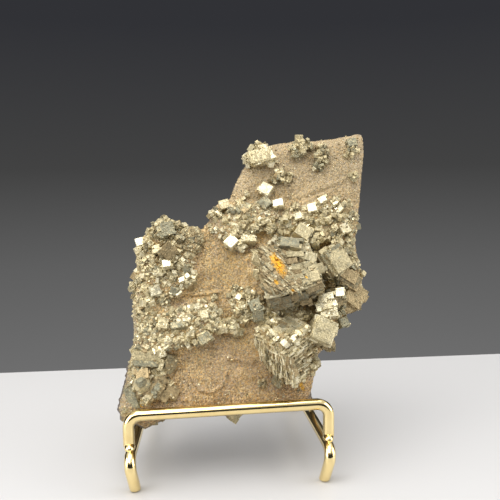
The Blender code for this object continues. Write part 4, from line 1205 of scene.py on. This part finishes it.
@dataclass
class SownCrystals:
    """Thousands of small cubes that cover the crusts."""

    rock: Rock
    name: str
    across: Pair
    levels: Pair
    seed: int
    spacing: float = 0.74
    smallest: float = 0.7
    largest: float = 2.0
    fewer_large: float = 2.8
    # How the cubes lean: a spread about the neighbours' spin, nods, a spread of turns, and
    # the share that lies anyhow.
    spin_spread: float = 14.0
    nods: Pair = (-18.0, 36.0)
    turn_spread: float = 20.0
    wild_share: float = 0.28
    wild_reach: float = 60.0
    lifts: Pair = (-0.25, 0.25)
    stretches: Pair = (0.65, 1.35)
    sparse_below: float = 0.3
    rim_growth: float = 0.3
    rim_span: Pair = (0.5, 4.5)
    looks: tuple[tuple[Look, float], ...] = (
        (Look.BRASS, 0.31), (Look.KHAKI, 0.32), (Look.PALE, 0.14), (Look.GREEN, 0.07),
        (Look.BROWN, 0.07), (Look.TAN, 0.075), (Look.MIRROR, 0.015))

    def build(self, material: Material) -> Piece:
        """Sow the cubes over this piece's part of the slab.

        Args:
            material: Finish of the crystals.
        Returns:
            The joined piece.
        """
        bed = CrystalBed(self.name, self.seed)
        moulds = Mould.cubes(bed.chance, 12, skew=0.08, bevel=0.07)
        z = self.levels[0]
        while z < self.levels[1]:
            x = self.across[0]
            while x < self.across[1]:
                self._sow(bed, moulds, x, z)
                x += self.spacing
            z += self.spacing
        return bed.build(material)

    def _sow(self, bed: CrystalBed, moulds: list[Mould], x: float, z: float) -> None:
        """Set one cube near a place, where the place is on a crust."""
        chance = bed.chance
        x += bed.within(self.spacing)
        z += bed.within(self.spacing)
        size = self.smallest + (self.largest - self.smallest) * chance.random() ** self.fewer_large
        kinds, weights = zip(*self.looks)
        look = chance.choices(kinds, weights)[0]
        wild = chance.random() < self.wild_share
        spin = chance.gauss(0, self.spin_spread)
        nod, turn = chance.uniform(*self.nods), chance.gauss(0, self.turn_spread)
        anyhow = [chance.uniform(-self.wild_reach, self.wild_reach) for _ in range(3)]
        lift = chance.uniform(*self.lifts)
        wide, tall = chance.uniform(*self.stretches), chance.uniform(*self.stretches)
        if not self.rock.inside(x, z) or self.rock.crust(x, z, 1.0) < self.sparse_below:
            return
        rim = self.rock.rim_distance(x, z)
        size *= 1.0 - self.rim_growth + self.rim_growth * ease(rim, *self.rim_span)
        # Neighbours share about one spin.
        spin += 45.0 + 50.0 * waves(x, z, 6.0, 40.0)
        if wild:
            spin, nod, turn = anyhow
        if look is Look.MIRROR:
            nod, turn = mirror_aim(x, z)
        rise = self.rock.front(x, z) + lift * size * ease(rim, 0.0, 1.5)
        bed.grow(bed.pick(moulds), Vector((x, -rise, z)), (size * wide, size + 0.4, size * tall),
                 turned(spin, nod, turn), look)


@dataclass
class SteppedBlock:
    """Large crystal built of thin parallel plates with ragged rims and a studded top."""

    name: str
    centre: Pair
    rise: float
    width: float
    height: float
    depth: float
    angles: Triple
    layers: int
    spread: float
    seed: int
    studs: int
    stud_size: Pair = (1.2, 3.4)
    stud_rise: float = 0.9
    ragged: float = 0.65
    crumbs: int = 300
    drift: float = 0.0
    shift: float = 0.25
    overlap: float = 1.4
    grooves: tuple[float, ...] = (0.2, 0.35, 0.6, 1.1)
    tab_run: Pair = (0.8, 3.6)
    tab_reach: float = 2.0
    looks: tuple[Look, ...] = (Look.KHAKI, Look.KHAKI, Look.BRASS, Look.BRASS, Look.PALE,
                               Look.BROWN)

    @property
    def top(self) -> Vector:
        """Middle of the block's front."""
        return Vector((self.centre[0], -self.rise, self.centre[1]))

    def point(self, *local: float) -> Vector:
        """Place given in the block's own frame, from the middle of its front."""
        return self.top + turned(*self.angles) @ Vector(local)

    def build(self, material: Material) -> Piece:
        """Pile up the plates and set the studs and the extra crystals.

        Args:
            material: Finish of the crystals.
        Returns:
            The joined piece.
        """
        bed = CrystalBed(self.name, self.seed)
        moulds = Mould.cubes(bed.chance, 8, skew=0.03)
        thickness = self.depth / self.layers
        for layer in range(self.layers):
            deep = layer * thickness
            size = (self.width + self.spread * deep, self.height + self.spread * deep)
            middle = self.point(bed.chance.uniform(-self.shift, self.shift), deep,
                                bed.chance.uniform(-self.shift, self.shift))
            middle.x += self.drift * deep
            groove = bed.pick(self.grooves)
            bed.grow(bed.pick(moulds), middle,
                     (size[0] - groove, thickness * self.overlap, size[1] - groove),
                     turned(*self.angles), bed.pick(self.looks))
            for side in range(4):
                self._tabs(bed, moulds, middle, size, thickness, side)
        self._studs(bed)
        self._crumbs(bed)
        self.extra(bed)
        return bed.build(material)

    def _tabs(self, bed: CrystalBed, moulds: list[Mould], middle: Vector, size: Pair,
              thickness: float, side: int) -> None:
        """Break one rim of a plate into tabs of uneven length."""
        upright = side < 2
        along, across = size if upright else size[::-1]
        sign = 1.0 if side % 2 else -1.0
        start = -along / 2.0
        while start < along / 2.0:
            length = bed.chance.uniform(*self.tab_run)
            proud = bed.chance.uniform(-self.ragged, self.ragged)
            run = min(length, along / 2.0 - start)
            out = sign * (across / 2.0 + proud - self.tab_reach / 2.0)
            local = (start + run / 2.0, out) if upright else (out, start + run / 2.0)
            extent = (run * 0.98, self.tab_reach) if upright else (self.tab_reach, run * 0.98)
            place = Vector((local[0], bed.chance.uniform(-0.2, 0.2) * thickness, local[1]))
            twist = bed.near(self.angles, 1.3)
            bed.grow(bed.pick(moulds), middle + turned(*self.angles) @ place,
                     (extent[0], thickness * bed.chance.uniform(0.75, 1.2), extent[1]), twist,
                     bed.pick(self.looks))
            start += length

    def _studs(self, bed: CrystalBed) -> None:
        """Set blocky cubes over the top plate."""
        moulds = [Mould.terraced(bed.chance, 1, 0.05) for _ in range(4)]
        low, high = self.stud_size
        for _ in range(self.studs):
            wide = low + (high - low) * bed.chance.random() ** 1.5
            tall = wide * bed.chance.uniform(0.6, 1.5)
            place = self.point(bed.within(self.width - wide), -self.stud_rise * bed.chance.random(),
                               bed.within(self.height - tall))
            twist = bed.near(self.angles, 3)
            bed.grow(bed.pick(moulds), place, (wide, wide + 0.6, tall), twist, bed.pick(self.looks))

    def _crumbs(self, bed: CrystalBed) -> None:
        """Scatter crumbs of crystal over the top and down the sides."""
        moulds = Mould.cubes(bed.chance, 6, skew=0.1)
        for _ in range(self.crumbs):
            edge = 0.3 + 0.9 * bed.chance.random() ** 2
            deep = bed.pick((0.0, 1.0)) * bed.chance.random() * self.depth
            wide = (self.width + self.spread * deep) / 2.0
            tall = (self.height + self.spread * deep) / 2.0
            local = [bed.chance.uniform(-wide, wide), deep - bed.chance.uniform(0.0, 0.5),
                     bed.chance.uniform(-tall, tall)]
            if deep > 0.0:
                axis = bed.pick((0, 2))
                local[axis] = bed.pick((-1.0, 1.0)) * (wide if axis == 0 else tall)
            twist = bed.near(self.angles, 20)
            place = self.point(*local) + Vector((self.drift * deep, 0.0, 0.0))
            bed.grow(bed.pick(moulds), place, (edge, edge, edge * 0.8), twist, bed.pick(self.looks))

    def extra(self, bed: CrystalBed) -> None:
        """Further crystals of a particular block."""


@dataclass
class StriatedBlock(SteppedBlock):
    """Stepped block whose front is slivered at one side and ledged at the other."""

    slivers: int = 430
    sliver_spin: float = 43.0
    sliver_across: Pair = (-7.2, 2.0)
    sliver_levels: Pair = (-6.2, 6.0)
    sliver_looks: tuple[Look, ...] = (Look.KHAKI, Look.TAN, Look.BRASS, Look.TAN, Look.BROWN,
                                      Look.TAN)
    ledge_depth: float = 2.6
    # Ledges and flats: tarnish, x, z, height of the front, width, height, spin, nod and turn.
    ledges: tuple[tuple, ...] = (
        ("G", 17.0, 53.0, 7.6, 5.0, 2.6, -10, 22, -4), ("K", 18.6, 52.0, 7.9, 3.0, 1.6, -16, 30, 2),
        ("K", 18.2, 49.6, 8.6, 4.4, 1.4, 0, 12, 0),
        ("T", 17.2, 47.8, 8.7, 2.8, 1.4, 8, 6, -4), ("K", 18.8, 46.2, 8.9, 3.6, 1.6, 0, 4, 6),
        ("T", 18.0, 44.6, 9.2, 3.0, 1.3, 12, -4, 0), ("K", 20.6, 48.9, 8.5, 2.2, 1.3, -14, 10, 0),
        ("B", 22.4, 48.9, 8.3, 3.2, 2.2, -12, 6, 10), ("K", 21.4, 46.9, 8.8, 2.6, 1.6, 14, 14, 6),
        ("K", 24.2, 45.6, 8.7, 2.8, 2.6, 16, -2, 2), ("K", 17.4, 43.2, 9.8, 4.8, 1.5, 10, 0, -4),
        ("T", 21.6, 43.6, 9.4, 4.2, 1.3, 22, 4, 6), ("B", 19.4, 41.6, 10.0, 6.4, 1.2, 16, 8, 0),
        ("K", 12.4, 41.4, 9.6, 3.4, 2.4, 24, 4, -12), ("B", 11.6, 39.4, 9.7, 3.8, 2.2, 10, 8, -10),
        ("K", 16.2, 39.9, 10.3, 5.4, 1.2, 18, 4, 0), ("N", 22.6, 40.4, 9.7, 4.6, 1.6, 22, -10, 4),
        # The rows from here face downward and form the block's underside: they get real shade from
        # facing down, and most are brown, which adds painted shade.
        ("N", 12.4, 37.5, 8.6, 3.0, 2.4, 20, -34, -10),
        ("N", 15.2, 37.1, 8.1, 3.0, 3.0, 10, -22, 0),
        ("T", 17.4, 38.2, 8.3, 2.4, 1.8, 24, -30, 4), ("N", 19.6, 38.3, 7.9, 3.2, 2.8, 16, -40, 8),
        ("N", 22.2, 39.4, 7.6, 2.6, 2.4, 12, -28, 4), ("N", 13.8, 35.9, 7.0, 3.6, 1.8, 14, -36, -4),
        ("T", 20.8, 37.0, 6.8, 3.0, 1.6, 20, -34, 2))

    def extra(self, bed: CrystalBed) -> None:
        """Set the slivers and the ledges, each ledge with five crystals broken along it."""
        slim = Mould.cubes(bed.chance, 6, skew=0.04)
        broad = [Mould.terraced(bed.chance, 2) for _ in range(4)]
        self._slivers(bed, slim)
        for letter, x, z, rise, width, height, *angles in self.ledges:
            bed.grow(bed.pick(broad), Vector((x, -rise, z)), (width, self.ledge_depth, height),
                     turned(*angles), LOOKS[letter])
            for _ in range(5):
                edge = min(width, height) * bed.chance.uniform(0.25, 0.6)
                place = Vector((x + bed.within(width), -rise + bed.chance.uniform(0.0, 0.6),
                                z + bed.within(height)))
                twist = bed.near(angles, 6)
                bed.grow(bed.pick(slim), place, (edge * 1.6, edge, edge * 0.7), twist,
                         LOOKS[letter])

    def _slivers(self, bed: CrystalBed, moulds: list[Mould]) -> None:
        """Set the thin crystals that cross the front aslant."""
        chance = bed.chance
        _, nod, turn = self.angles
        for _ in range(self.slivers):
            reach = chance.uniform(0.6, 2.6)
            x = self.centre[0] + chance.uniform(*self.sliver_across)
            z = self.centre[1] + chance.uniform(*self.sliver_levels)
            leaning = math.tan(math.radians(nod)) * (self.centre[1] - z)
            place = Vector((x, -(self.rise + leaning + chance.uniform(-0.15, 0.5)), z))
            twist = turned(self.sliver_spin + chance.gauss(0, 6), nod - 6.0 + chance.gauss(0, 9),
                           turn + 4.0 + chance.gauss(0, 12))
            bed.grow(bed.pick(moulds), place, (chance.uniform(0.25, 0.7), 1.4, reach), twist,
                     bed.pick(self.sliver_looks))


@dataclass
class RibbedBlock(SteppedBlock):
    """Stepped block whose lower left side is ribbed from top to foot."""

    ribs: int = 620
    rib_lean: float = -12.0
    rib_fan: float = 10.0
    # Most ribs face down towards the floor; their heavy share of pale and mirror tarnish is a
    # painted highlight that makes them read as bright slivers.
    rib_looks_with_painted_sheen: tuple[Look, ...] = (Look.PALE, Look.PALE, Look.PALE, Look.BRASS, Look.KHAKI,
                                   Look.TAN, Look.TAN, Look.BROWN, Look.MIRROR)
    skirt: int = 300
    # Patch that the skirt covers, from the block's centre: its upper and lower left corner,
    # how far both of its edges run to the right, and how far each of them falls on the way.
    skirt_upper: Pair = (-5.4, 0.4)
    skirt_lower: Pair = (-2.2, -9.8)
    skirt_run: float = 6.4
    skirt_falls: Pair = (4.4, 1.4)
    skirt_looks: tuple[Look, ...] = (Look.PALE, Look.PALE, Look.BRASS, Look.KHAKI, Look.TAN,
                                     Look.TAN, Look.BROWN)
    glints: int = 90
    glint_nod: float = 16.0
    glint_turn: float = -19.0
    glint_looks: tuple[Look, ...] = ((Look.PALE,) * 4 + (Look.BRASS,) * 3
                                     + (Look.KHAKI, Look.MIRROR))

    def extra(self, bed: CrystalBed) -> None:
        """Set the ribs, the skirt and the bright crystals of the cap."""
        slim = Mould.cubes(bed.chance, 6)
        self._ribs(bed, slim)
        self._skirt(bed, slim)
        self._glints(bed, slim)

    def _ribs(self, bed: CrystalBed, moulds: list[Mould]) -> None:
        """Set the ribs of the side, which fan a little as they go down."""
        chance = bed.chance
        for _ in range(self.ribs):
            along = chance.uniform(-0.54, 0.56) * self.height
            deep = chance.uniform(0.05, 0.88) * self.depth
            run = min(0.6 + 3.4 * chance.random() ** 1.6, self.depth - deep)
            proud = chance.uniform(-0.5, 0.8)
            out = -((self.width + self.spread * deep) / 2.0 + proud) + 0.7
            leans = (self.rib_lean - self.rib_fan * along / self.height + chance.gauss(0, 6),
                     chance.gauss(0, 20), chance.gauss(0, 8))
            twist = turned(*self.angles)
            for lean, axis in zip(leans, "XYZ"):
                twist = twist @ Matrix.Rotation(math.radians(lean), 4, axis)
            place = self.point(out, deep, along) + Vector((self.drift * deep, 0.0, 0.0))
            bed.grow(bed.pick(moulds), place, (1.4, run, chance.uniform(0.15, 0.5)), twist,
                     bed.pick(self.rib_looks_with_painted_sheen))

    def _skirt(self, bed: CrystalBed, moulds: list[Mould]) -> None:
        """Set the ribs below the block, which run down to the rock."""
        chance = bed.chance
        (upper_x, upper_z), (lower_x, lower_z) = self.skirt_upper, self.skirt_lower
        for _ in range(self.skirt):
            across, down = chance.random(), chance.random()
            run = self.skirt_run * across
            upper = Vector((upper_x + run, upper_z - self.skirt_falls[0] * across))
            lower = Vector((lower_x + run, lower_z - self.skirt_falls[1] * across))
            x, z = upper.lerp(lower, down)
            rise = 1.3 + 2.4 * across + chance.uniform(-0.5, 0.4)
            place = Vector((self.centre[0] + x, -rise, self.centre[1] + z))
            twist = turned(17 + 9 * across + chance.gauss(0, 6), chance.gauss(4, 9),
                           -12 + chance.gauss(0, 16))
            bed.grow(bed.pick(moulds), place,
                     (chance.uniform(0.2, 0.6), 2.6, 0.8 + 3.0 * chance.random() ** 1.6), twist,
                     bed.pick(self.skirt_looks))

    def _glints(self, bed: CrystalBed, moulds: list[Mould]) -> None:
        """Set the bright crystals of the cap."""
        chance = bed.chance
        for _ in range(self.glints):
            edge = chance.uniform(0.6, 1.5)
            place = self.point(chance.uniform(-0.5, 0.45) * self.width, -chance.uniform(0.6, 2.0),
                               bed.within(self.height))
            twist = turned(chance.uniform(20, 70), self.glint_nod + chance.gauss(0, 14),
                           self.glint_turn + chance.gauss(0, 14))
            bed.grow(bed.pick(moulds), place, (edge, edge + 0.5, edge), twist,
                     bed.pick(self.glint_looks))


@dataclass
class Cushion:
    """Rounded lump of crystals so fine that it looks like velvet."""

    name: str
    centre: Triple
    half_size: Triple
    seed: int
    count: int = 420
    swell: float = 0.10
    tilt: float = 22.0
    edge: Pair = (0.55, 0.95)
    looks: tuple[Look, ...] = (Look.TAN, Look.BROWN, Look.KHAKI, Look.KHAKI)

    def build(self, material: Material) -> Piece:
        """Stud the lump with small cubes, spread evenly along a spiral.

        Args:
            material: Finish of the crystals.
        Returns:
            The joined piece.
        """
        bed = CrystalBed(self.name, self.seed)
        chance = bed.chance
        moulds = Mould.cubes(chance, 1, bevel=0.08)
        golden_angle = math.pi * (3.0 - math.sqrt(5.0))
        x, z, rise = self.centre
        for index in range(self.count):
            up = 1.0 - 2.0 * (index + 0.5) / self.count
            around = index * golden_angle
            flat = math.sqrt(1.0 - up * up)
            out = Vector((flat * math.cos(around), flat * math.sin(around), up))
            swell = 1.0 + self.swell * noise.noise(out * 3.0)
            place = Vector((x, -rise, z)) + swell * Vector(
                [half * share for half, share in zip(self.half_size, out)])
            rotation = out.to_track_quat("-Y", "Z").to_matrix().to_4x4()
            rotation = rotation @ turned(chance.uniform(0, 90), chance.gauss(0, self.tilt),
                                         chance.gauss(0, self.tilt))
            size = chance.uniform(*self.edge)
            bed.grow(moulds[0], place, (size, size + 0.7, size), rotation, bed.pick(self.looks))
        return bed.build(material)


# ---------------------------------------------------------------- the stand


def stand_up(bm: BMesh) -> None:
    """Move a bmesh from the stand's frame in millimetres to its place in metres."""
    bmesh.ops.translate(bm, verts=bm.verts, vec=STAND_OFFSET)
    bmesh.ops.scale(bm, verts=bm.verts, vec=(MM, MM, MM))


@dataclass
class Wire:
    """Round wire bent along a path, in the stand's frame in millimetres."""

    name: str
    node: str
    corners: tuple[Triple, ...]
    bend: float
    rounded_end: float = 0.7
    radius: float = 1.5
    steps: int = 14
    sharp_deg: float = 40.0

    def path(self) -> list[Vector]:
        """Points along the wire with every inner corner turned into an arc."""
        corners = [Vector(corner) for corner in self.corners]
        points = [corners[0]]
        for before, corner, after in zip(corners, corners[1:], corners[2:]):
            back, onward = (before - corner).normalized(), (after - corner).normalized()
            half = back.angle(onward) / 2.0
            centre = corner + (back + onward).normalized() * (self.bend / math.sin(half))
            start = corner + back * (self.bend / math.tan(half)) - centre
            end = corner + onward * (self.bend / math.tan(half)) - centre
            axis = start.cross(end).normalized()
            sweep = start.angle(end)
            points += [centre + Matrix.Rotation(sweep * step / self.steps, 3, axis) @ start
                       for step in range(self.steps + 1)]
        return points + [corners[-1]]

    def _swept(self) -> BMesh:
        """Tube along the path."""
        points = self.path()
        curve = bpy.data.curves.new(self.name, "CURVE")
        curve.dimensions = "3D"
        curve.bevel_depth = self.radius
        curve.bevel_resolution = 6
        curve.use_fill_caps = True
        spline = curve.splines.new("POLY")
        spline.points.add(len(points) - 1)
        for point, place in zip(spline.points, points):
            point.co = (*place, 1.0)
        mesh = evaluated_mesh(bpy.data.objects.new(self.name + "_guide", curve))
        bm = bmesh.new()
        bm.from_mesh(mesh)
        bpy.data.meshes.remove(mesh)
        bmesh.ops.remove_doubles(bm, verts=bm.verts, dist=0.001)
        return bm

    def build(self, material: Material) -> Piece:
        """Sweep the wire, cut it flat at the floor and round its ends.

        Args:
            material: Finish of the wire.
        Returns:
            The wire, standing for its node.
        """
        bm = self._swept()
        cut(bm, (0, 0, 0), (0, 0, -1), 0.001, clear_outer=True)
        bmesh.ops.holes_fill(bm, edges=[edge for edge in bm.edges if edge.is_boundary])
        caps = [face for face in bm.faces if len(face.verts) > 8]
        rims = list({edge for face in caps for edge in face.edges})
        bmesh.ops.bevel(bm, geom=rims, offset=self.rounded_end, affect="EDGES", segments=4,
                        profile=0.5, material=-1)
        bmesh.ops.recalc_face_normals(bm, faces=bm.faces)
        stand_up(bm)
        wire = mesh_piece(self.name, bm)
        wire.data.shade_smooth()
        wire.data.set_sharp_from_angle(angle=math.radians(self.sharp_deg))
        return finished(wire, material, "gold_wire", self.node)


@dataclass
class WireStand:
    """Front lip, two side rails with the front feet, and the back rest."""

    # Lip: half its width, how far back it stands, its feet and the two ends of its bar.
    lip_half: float = 26.2
    lip_depth: float = 1.2
    lip_foot: float = 11.55
    lip_levels: Pair = (19.6, 20.6)
    lip_bend: float = 3.2
    # Side rails: their height, and their foot, knee and rear end on the right, x and y.
    rail_height: float = 10.0
    rail_foot: Pair = (24.5, 1.4)
    rail_knee: Pair = (25.86, -5.136)
    rail_end: Pair = (23.9, 43.4)
    rail_bend: float = 2.6
    # Back rest: x and y of its top corners and of its feet, and its height.
    rest_top: Pair = (20.0, 30.3)
    rest_foot: Pair = (24.5, 50.0)
    rest_height: float = 49.5
    rest_bend: float = 4.5
    # The wires start under the floor, at which they are cut flat.
    below: float = -3.0
    # Beads of solder: their half size, and where they are from the lip's foot.
    bead: Triple = (1.42, 2.1, 1.3)
    bead_shift: Triple = (-0.25, -0.75, 1.4)

    def lip(self) -> Wire:
        """Upturned U in front of the rock, whose bar slants a little."""
        half, depth, foot = self.lip_half, self.lip_depth, self.lip_foot
        left, right = self.lip_levels
        return Wire("front_lip_wire", "front_rail",
                    ((-half, depth, foot), (-half, depth, left), (half, depth, right),
                     (half, depth, foot)), self.lip_bend)

    def rail(self, name: str, side: float) -> Wire:
        """Front foot, knee and straight rail of one side."""
        corners = zip((self.rail_foot, self.rail_knee, self.rail_end),
                      (self.below, self.rail_height, self.rail_height))
        return Wire(f"side_wire_{name}", f"side_rail_{name}",
                    tuple((side * x, y, z) for (x, y), z in corners), self.rail_bend)

    def back_rest(self) -> Wire:
        """Upturned U behind the rock, whose lower ends are the rear feet."""
        (top_half, top), (foot_half, foot) = self.rest_top, self.rest_foot
        drop = self.below / self.rest_height
        low_half = foot_half - (foot_half - top_half) * drop
        low = foot - (foot - top) * drop
        return Wire("back_rest_wire", "back_rest",
                    ((-low_half, low, self.below), (-top_half, top, self.rest_height),
                     (top_half, top, self.rest_height), (low_half, low, self.below)),
                    self.rest_bend)

    def welds(self, material: Material) -> Piece:
        """Small beads of solder where the wires meet."""
        bm = bmesh.new()
        across, back, up = self.bead_shift
        for side in (-1.0, 1.0):
            spot = Vector(((self.lip_half + across) * side, self.lip_depth + back,
                           self.rail_height + up))
            bead = bmesh.ops.create_uvsphere(bm, u_segments=24, v_segments=16, radius=1.0)
            bmesh.ops.scale(bm, verts=bead["verts"], vec=self.bead)
            bmesh.ops.translate(bm, verts=bead["verts"], vec=spot)
        stand_up(bm)
        beads = mesh_piece("solder_beads", bm)
        beads.data.shade_smooth()
        return finished(beads, material, "gold_wire")

    def build(self, material: Material) -> None:
        """Make every wire and bead of the stand."""
        for wire in (self.lip(), self.rail("left", -1.0), self.rail("right", 1.0),
                     self.back_rest()):
            wire.build(material)
        self.welds(material)


# ---------------------------------------------------------------- the studio


@dataclass(frozen=True)
class SoftLight:
    """Rectangular light: where it stands in millimetres, its size in metres and its watts."""

    name: str
    place: Vector
    size: Pair
    power: float
    tint: Triple

    def build(self, aim: Vector) -> None:
        """Add the light, pointed at a place in millimetres."""
        lamp = bpy.data.lights.new(self.name, "AREA")
        lamp.shape = "RECTANGLE"
        lamp.size, lamp.size_y = self.size
        lamp.energy = self.power
        lamp.color = self.tint
        light = bpy.data.objects.new(self.name, lamp)
        light.location = self.place * MM
        light.rotation_euler = (aim - self.place).to_track_quat("-Z", "Y").to_euler()
        bpy.context.scene.collection.objects.link(light)


@dataclass
class Studio:
    """Plain pale floor, soft lights and the camera."""

    floor_low: Triple = (-0.30, -0.20, 0.0)
    floor_high: Triple = (0.30, 0.080, 0.0)
    aim: Vector = field(default_factory=lambda: Vector((0.0, 0.0, 50.0)))
    lights: tuple[SoftLight, ...] = (
        SoftLight("key", KEY_LIGHT, (0.40, 0.40), 1.6, (1.0, 0.985, 0.96)),
        SoftLight("overhead", Vector((0.0, -40.0, 520.0)), (0.6, 0.4), 1.1, (1.0, 0.99, 0.97)),
        SoftLight("left_fill", Vector((-420.0, -160.0, 170.0)), (0.35, 0.35), 1.3,
                  (0.97, 0.98, 1.0)),
        SoftLight("right_fill", Vector((420.0, -120.0, 170.0)), (0.35, 0.35), 1.2,
                  (0.97, 0.98, 1.0)))
    # Backdrop from the floor up, over the heights that it spans, and the dome above it.
    backdrop: Stops = ((0.0, (0.17, 0.17, 0.17)), (0.35, (0.115, 0.115, 0.115)),
                       (0.62, (0.055, 0.055, 0.055)), (1.0, (0.031, 0.032, 0.037)))
    backdrop_span: Pair = (-0.34, 0.2)
    dome: Triple = (0.80, 0.80, 0.80)
    dome_span: Pair = (0.36, 0.66)

    def build(self) -> None:
        """Set the floor, the lights, the world and the camera."""
        self.floor()
        for light in self.lights:
            light.build(self.aim)
        self.world()
        self.camera()

    def floor(self) -> None:
        """Lay the floor."""
        bm = bmesh.new()
        bmesh.ops.create_grid(bm, x_segments=1, y_segments=1, size=0.5)
        low, high = Vector(self.floor_low), Vector(self.floor_high)
        bmesh.ops.scale(bm, verts=bm.verts, vec=high - low)
        bmesh.ops.translate(bm, verts=bm.verts, vec=(low + high) / 2.0)
        floor = mesh_piece("floor", bm)
        floor.data.materials.append(FloorFinish().make())
        bpy.context.scene.collection.objects.link(floor)

    def world(self) -> None:
        """Set the light that comes from all round."""
        world = bpy.data.worlds.new("studio")
        world.use_nodes = True
        graph = Graph(world.node_tree)
        coords = graph.add("TexCoord")
        level = graph.add("SeparateXYZ", Vector=coords.outputs["Generated"]).outputs[2]
        backdrop = graph.ramp(graph.span(level, *self.backdrop_span), self.backdrop)
        colour = graph.mix(graph.span(level, *self.dome_span), backdrop, self.dome)
        graph.fill(world.node_tree.nodes["Background"].inputs["Color"], colour)
        bpy.context.scene.world = world
        bpy.context.scene.view_settings.view_transform = "Standard"

    def camera(self) -> None:
        """Place the camera."""
        lens = bpy.data.cameras.new("camera")
        lens.lens = LENS_MM
        lens.sensor_width = 36.0
        lens.clip_start = 0.01
        lens.dof.use_dof = False
        forward = EYE_FORWARD.normalized()
        right = (EYE_RIGHT - forward * EYE_RIGHT.dot(forward)).normalized()
        up = right.cross(forward)
        turn = Matrix((right, up, -forward)).transposed()
        eye = bpy.data.objects.new("camera", lens)
        eye.matrix_world = Matrix.Translation(EYE * MM) @ turn.to_4x4()
        bpy.context.scene.collection.objects.link(eye)
        bpy.context.scene.camera = eye


@dataclass
class Specimen:
    """Rock with every crystal on it."""

    effects: Effects
    rock: Rock = field(default_factory=Rock)
    # Rust: centre in the specimen's frame, and reach along x, y and z.
    rock_rust: tuple[tuple[Triple, Triple], ...] = (
        ((19.6, 0.0, 14.9), (0.6, 4.0, 1.5)), ((-23.2, 0.0, 11.9), (1.2, 4.0, 0.4)))
    block_rust: tuple[tuple[Triple, Triple], ...] = (
        ((13.3, -9.0, 47.2), (1.6, 5.0, 3.3)), ((16.6, -9.4, 40.2), (0.5, 4.0, 0.4)),
        ((20.6, -9.4, 43.4), (0.4, 4.0, 0.35)), ((12.6, -9.4, 42.4), (0.5, 4.0, 0.8)))

    @staticmethod
    def stains(spots: tuple[tuple[Triple, Triple], ...]) -> Spots:
        """Rust spots moved from the specimen's frame to where the specimen stands."""
        return tuple((POSE @ Vector(place) / MM, reach) for place, reach in spots)

    def build(self) -> None:
        """Make the rock, the crystals and their finishes."""
        self.rock.build(DruseFinish(self.effects, rust_spots=self.stains(self.rock_rust)).make())
        crystal = PyriteFinish(self.effects).make()
        stained = PyriteFinish(self.effects, name="stained_pyrite", dullness=0.26, brightness=0.84,
                               rust_spots=self.stains(self.block_rust)).make()
        NamedCrystals(self.rock).build(crystal)
        RockGrains(self.rock).build(crystal)
        SownCrystals(self.rock, "small_crystals_left", (-30.0, 0.0), (4.0, 63.0),
                     seed=51).build(crystal)
        SownCrystals(self.rock, "small_crystals_right", (0.0, 42.0), (4.0, 86.0),
                     seed=52).build(crystal)
        self.upper_block().build(stained)
        self.lower_block().build(crystal)
        Cushion("velvet_cushion", (-8.9, 55.6, 0.6), (3.4, 2.8, 3.2), seed=71).build(crystal)
        Cushion("velvet_cushion_low", (-9.2, 53.0, 0.4), (2.9, 2.8, 1.8), seed=72).build(crystal)

    @staticmethod
    def upper_block() -> StriatedBlock:
        """Wide stepped block with the ledged, rusty face."""
        return StriatedBlock(
            "upper_stepped_block", centre=(16.6, 45.9), rise=8.3, width=13.6, height=11.6,
            depth=10.0, angles=(14, 20, -6), layers=14, spread=0.16, seed=61, studs=16,
            stud_size=(1.2, 2.8), stud_rise=0.7,
            looks=(Look.KHAKI, Look.TAN, Look.BRASS, Look.TAN, Look.KHAKI, Look.BROWN))

    @staticmethod
    def lower_block() -> RibbedBlock:
        """Tall stepped block that stands out steeply, with the bright studded cap."""
        return RibbedBlock(
            "lower_stepped_block", centre=(14.7, 29.4), rise=5.2, width=10.4, height=10.4,
            depth=12.0, angles=(46, 54, -6), layers=28, spread=-0.02, seed=62, studs=80,
            stud_size=(1.0, 3.2), stud_rise=2.3, ragged=0.6, crumbs=420, drift=0.2,
            looks=(Look.KHAKI, Look.BRASS, Look.BRASS, Look.PALE, Look.PALE, Look.TAN,
                   Look.BROWN))


def main() -> None:
    """Build the whole object and its studio."""
    logging.basicConfig(level=logging.INFO, format="%(name)s %(message)s")
    effects = Effects()
    Specimen(effects).build()
    WireStand().build(GoldFinish(effects).make())
    Studio().build()


if __name__ == "__main__":
    main()
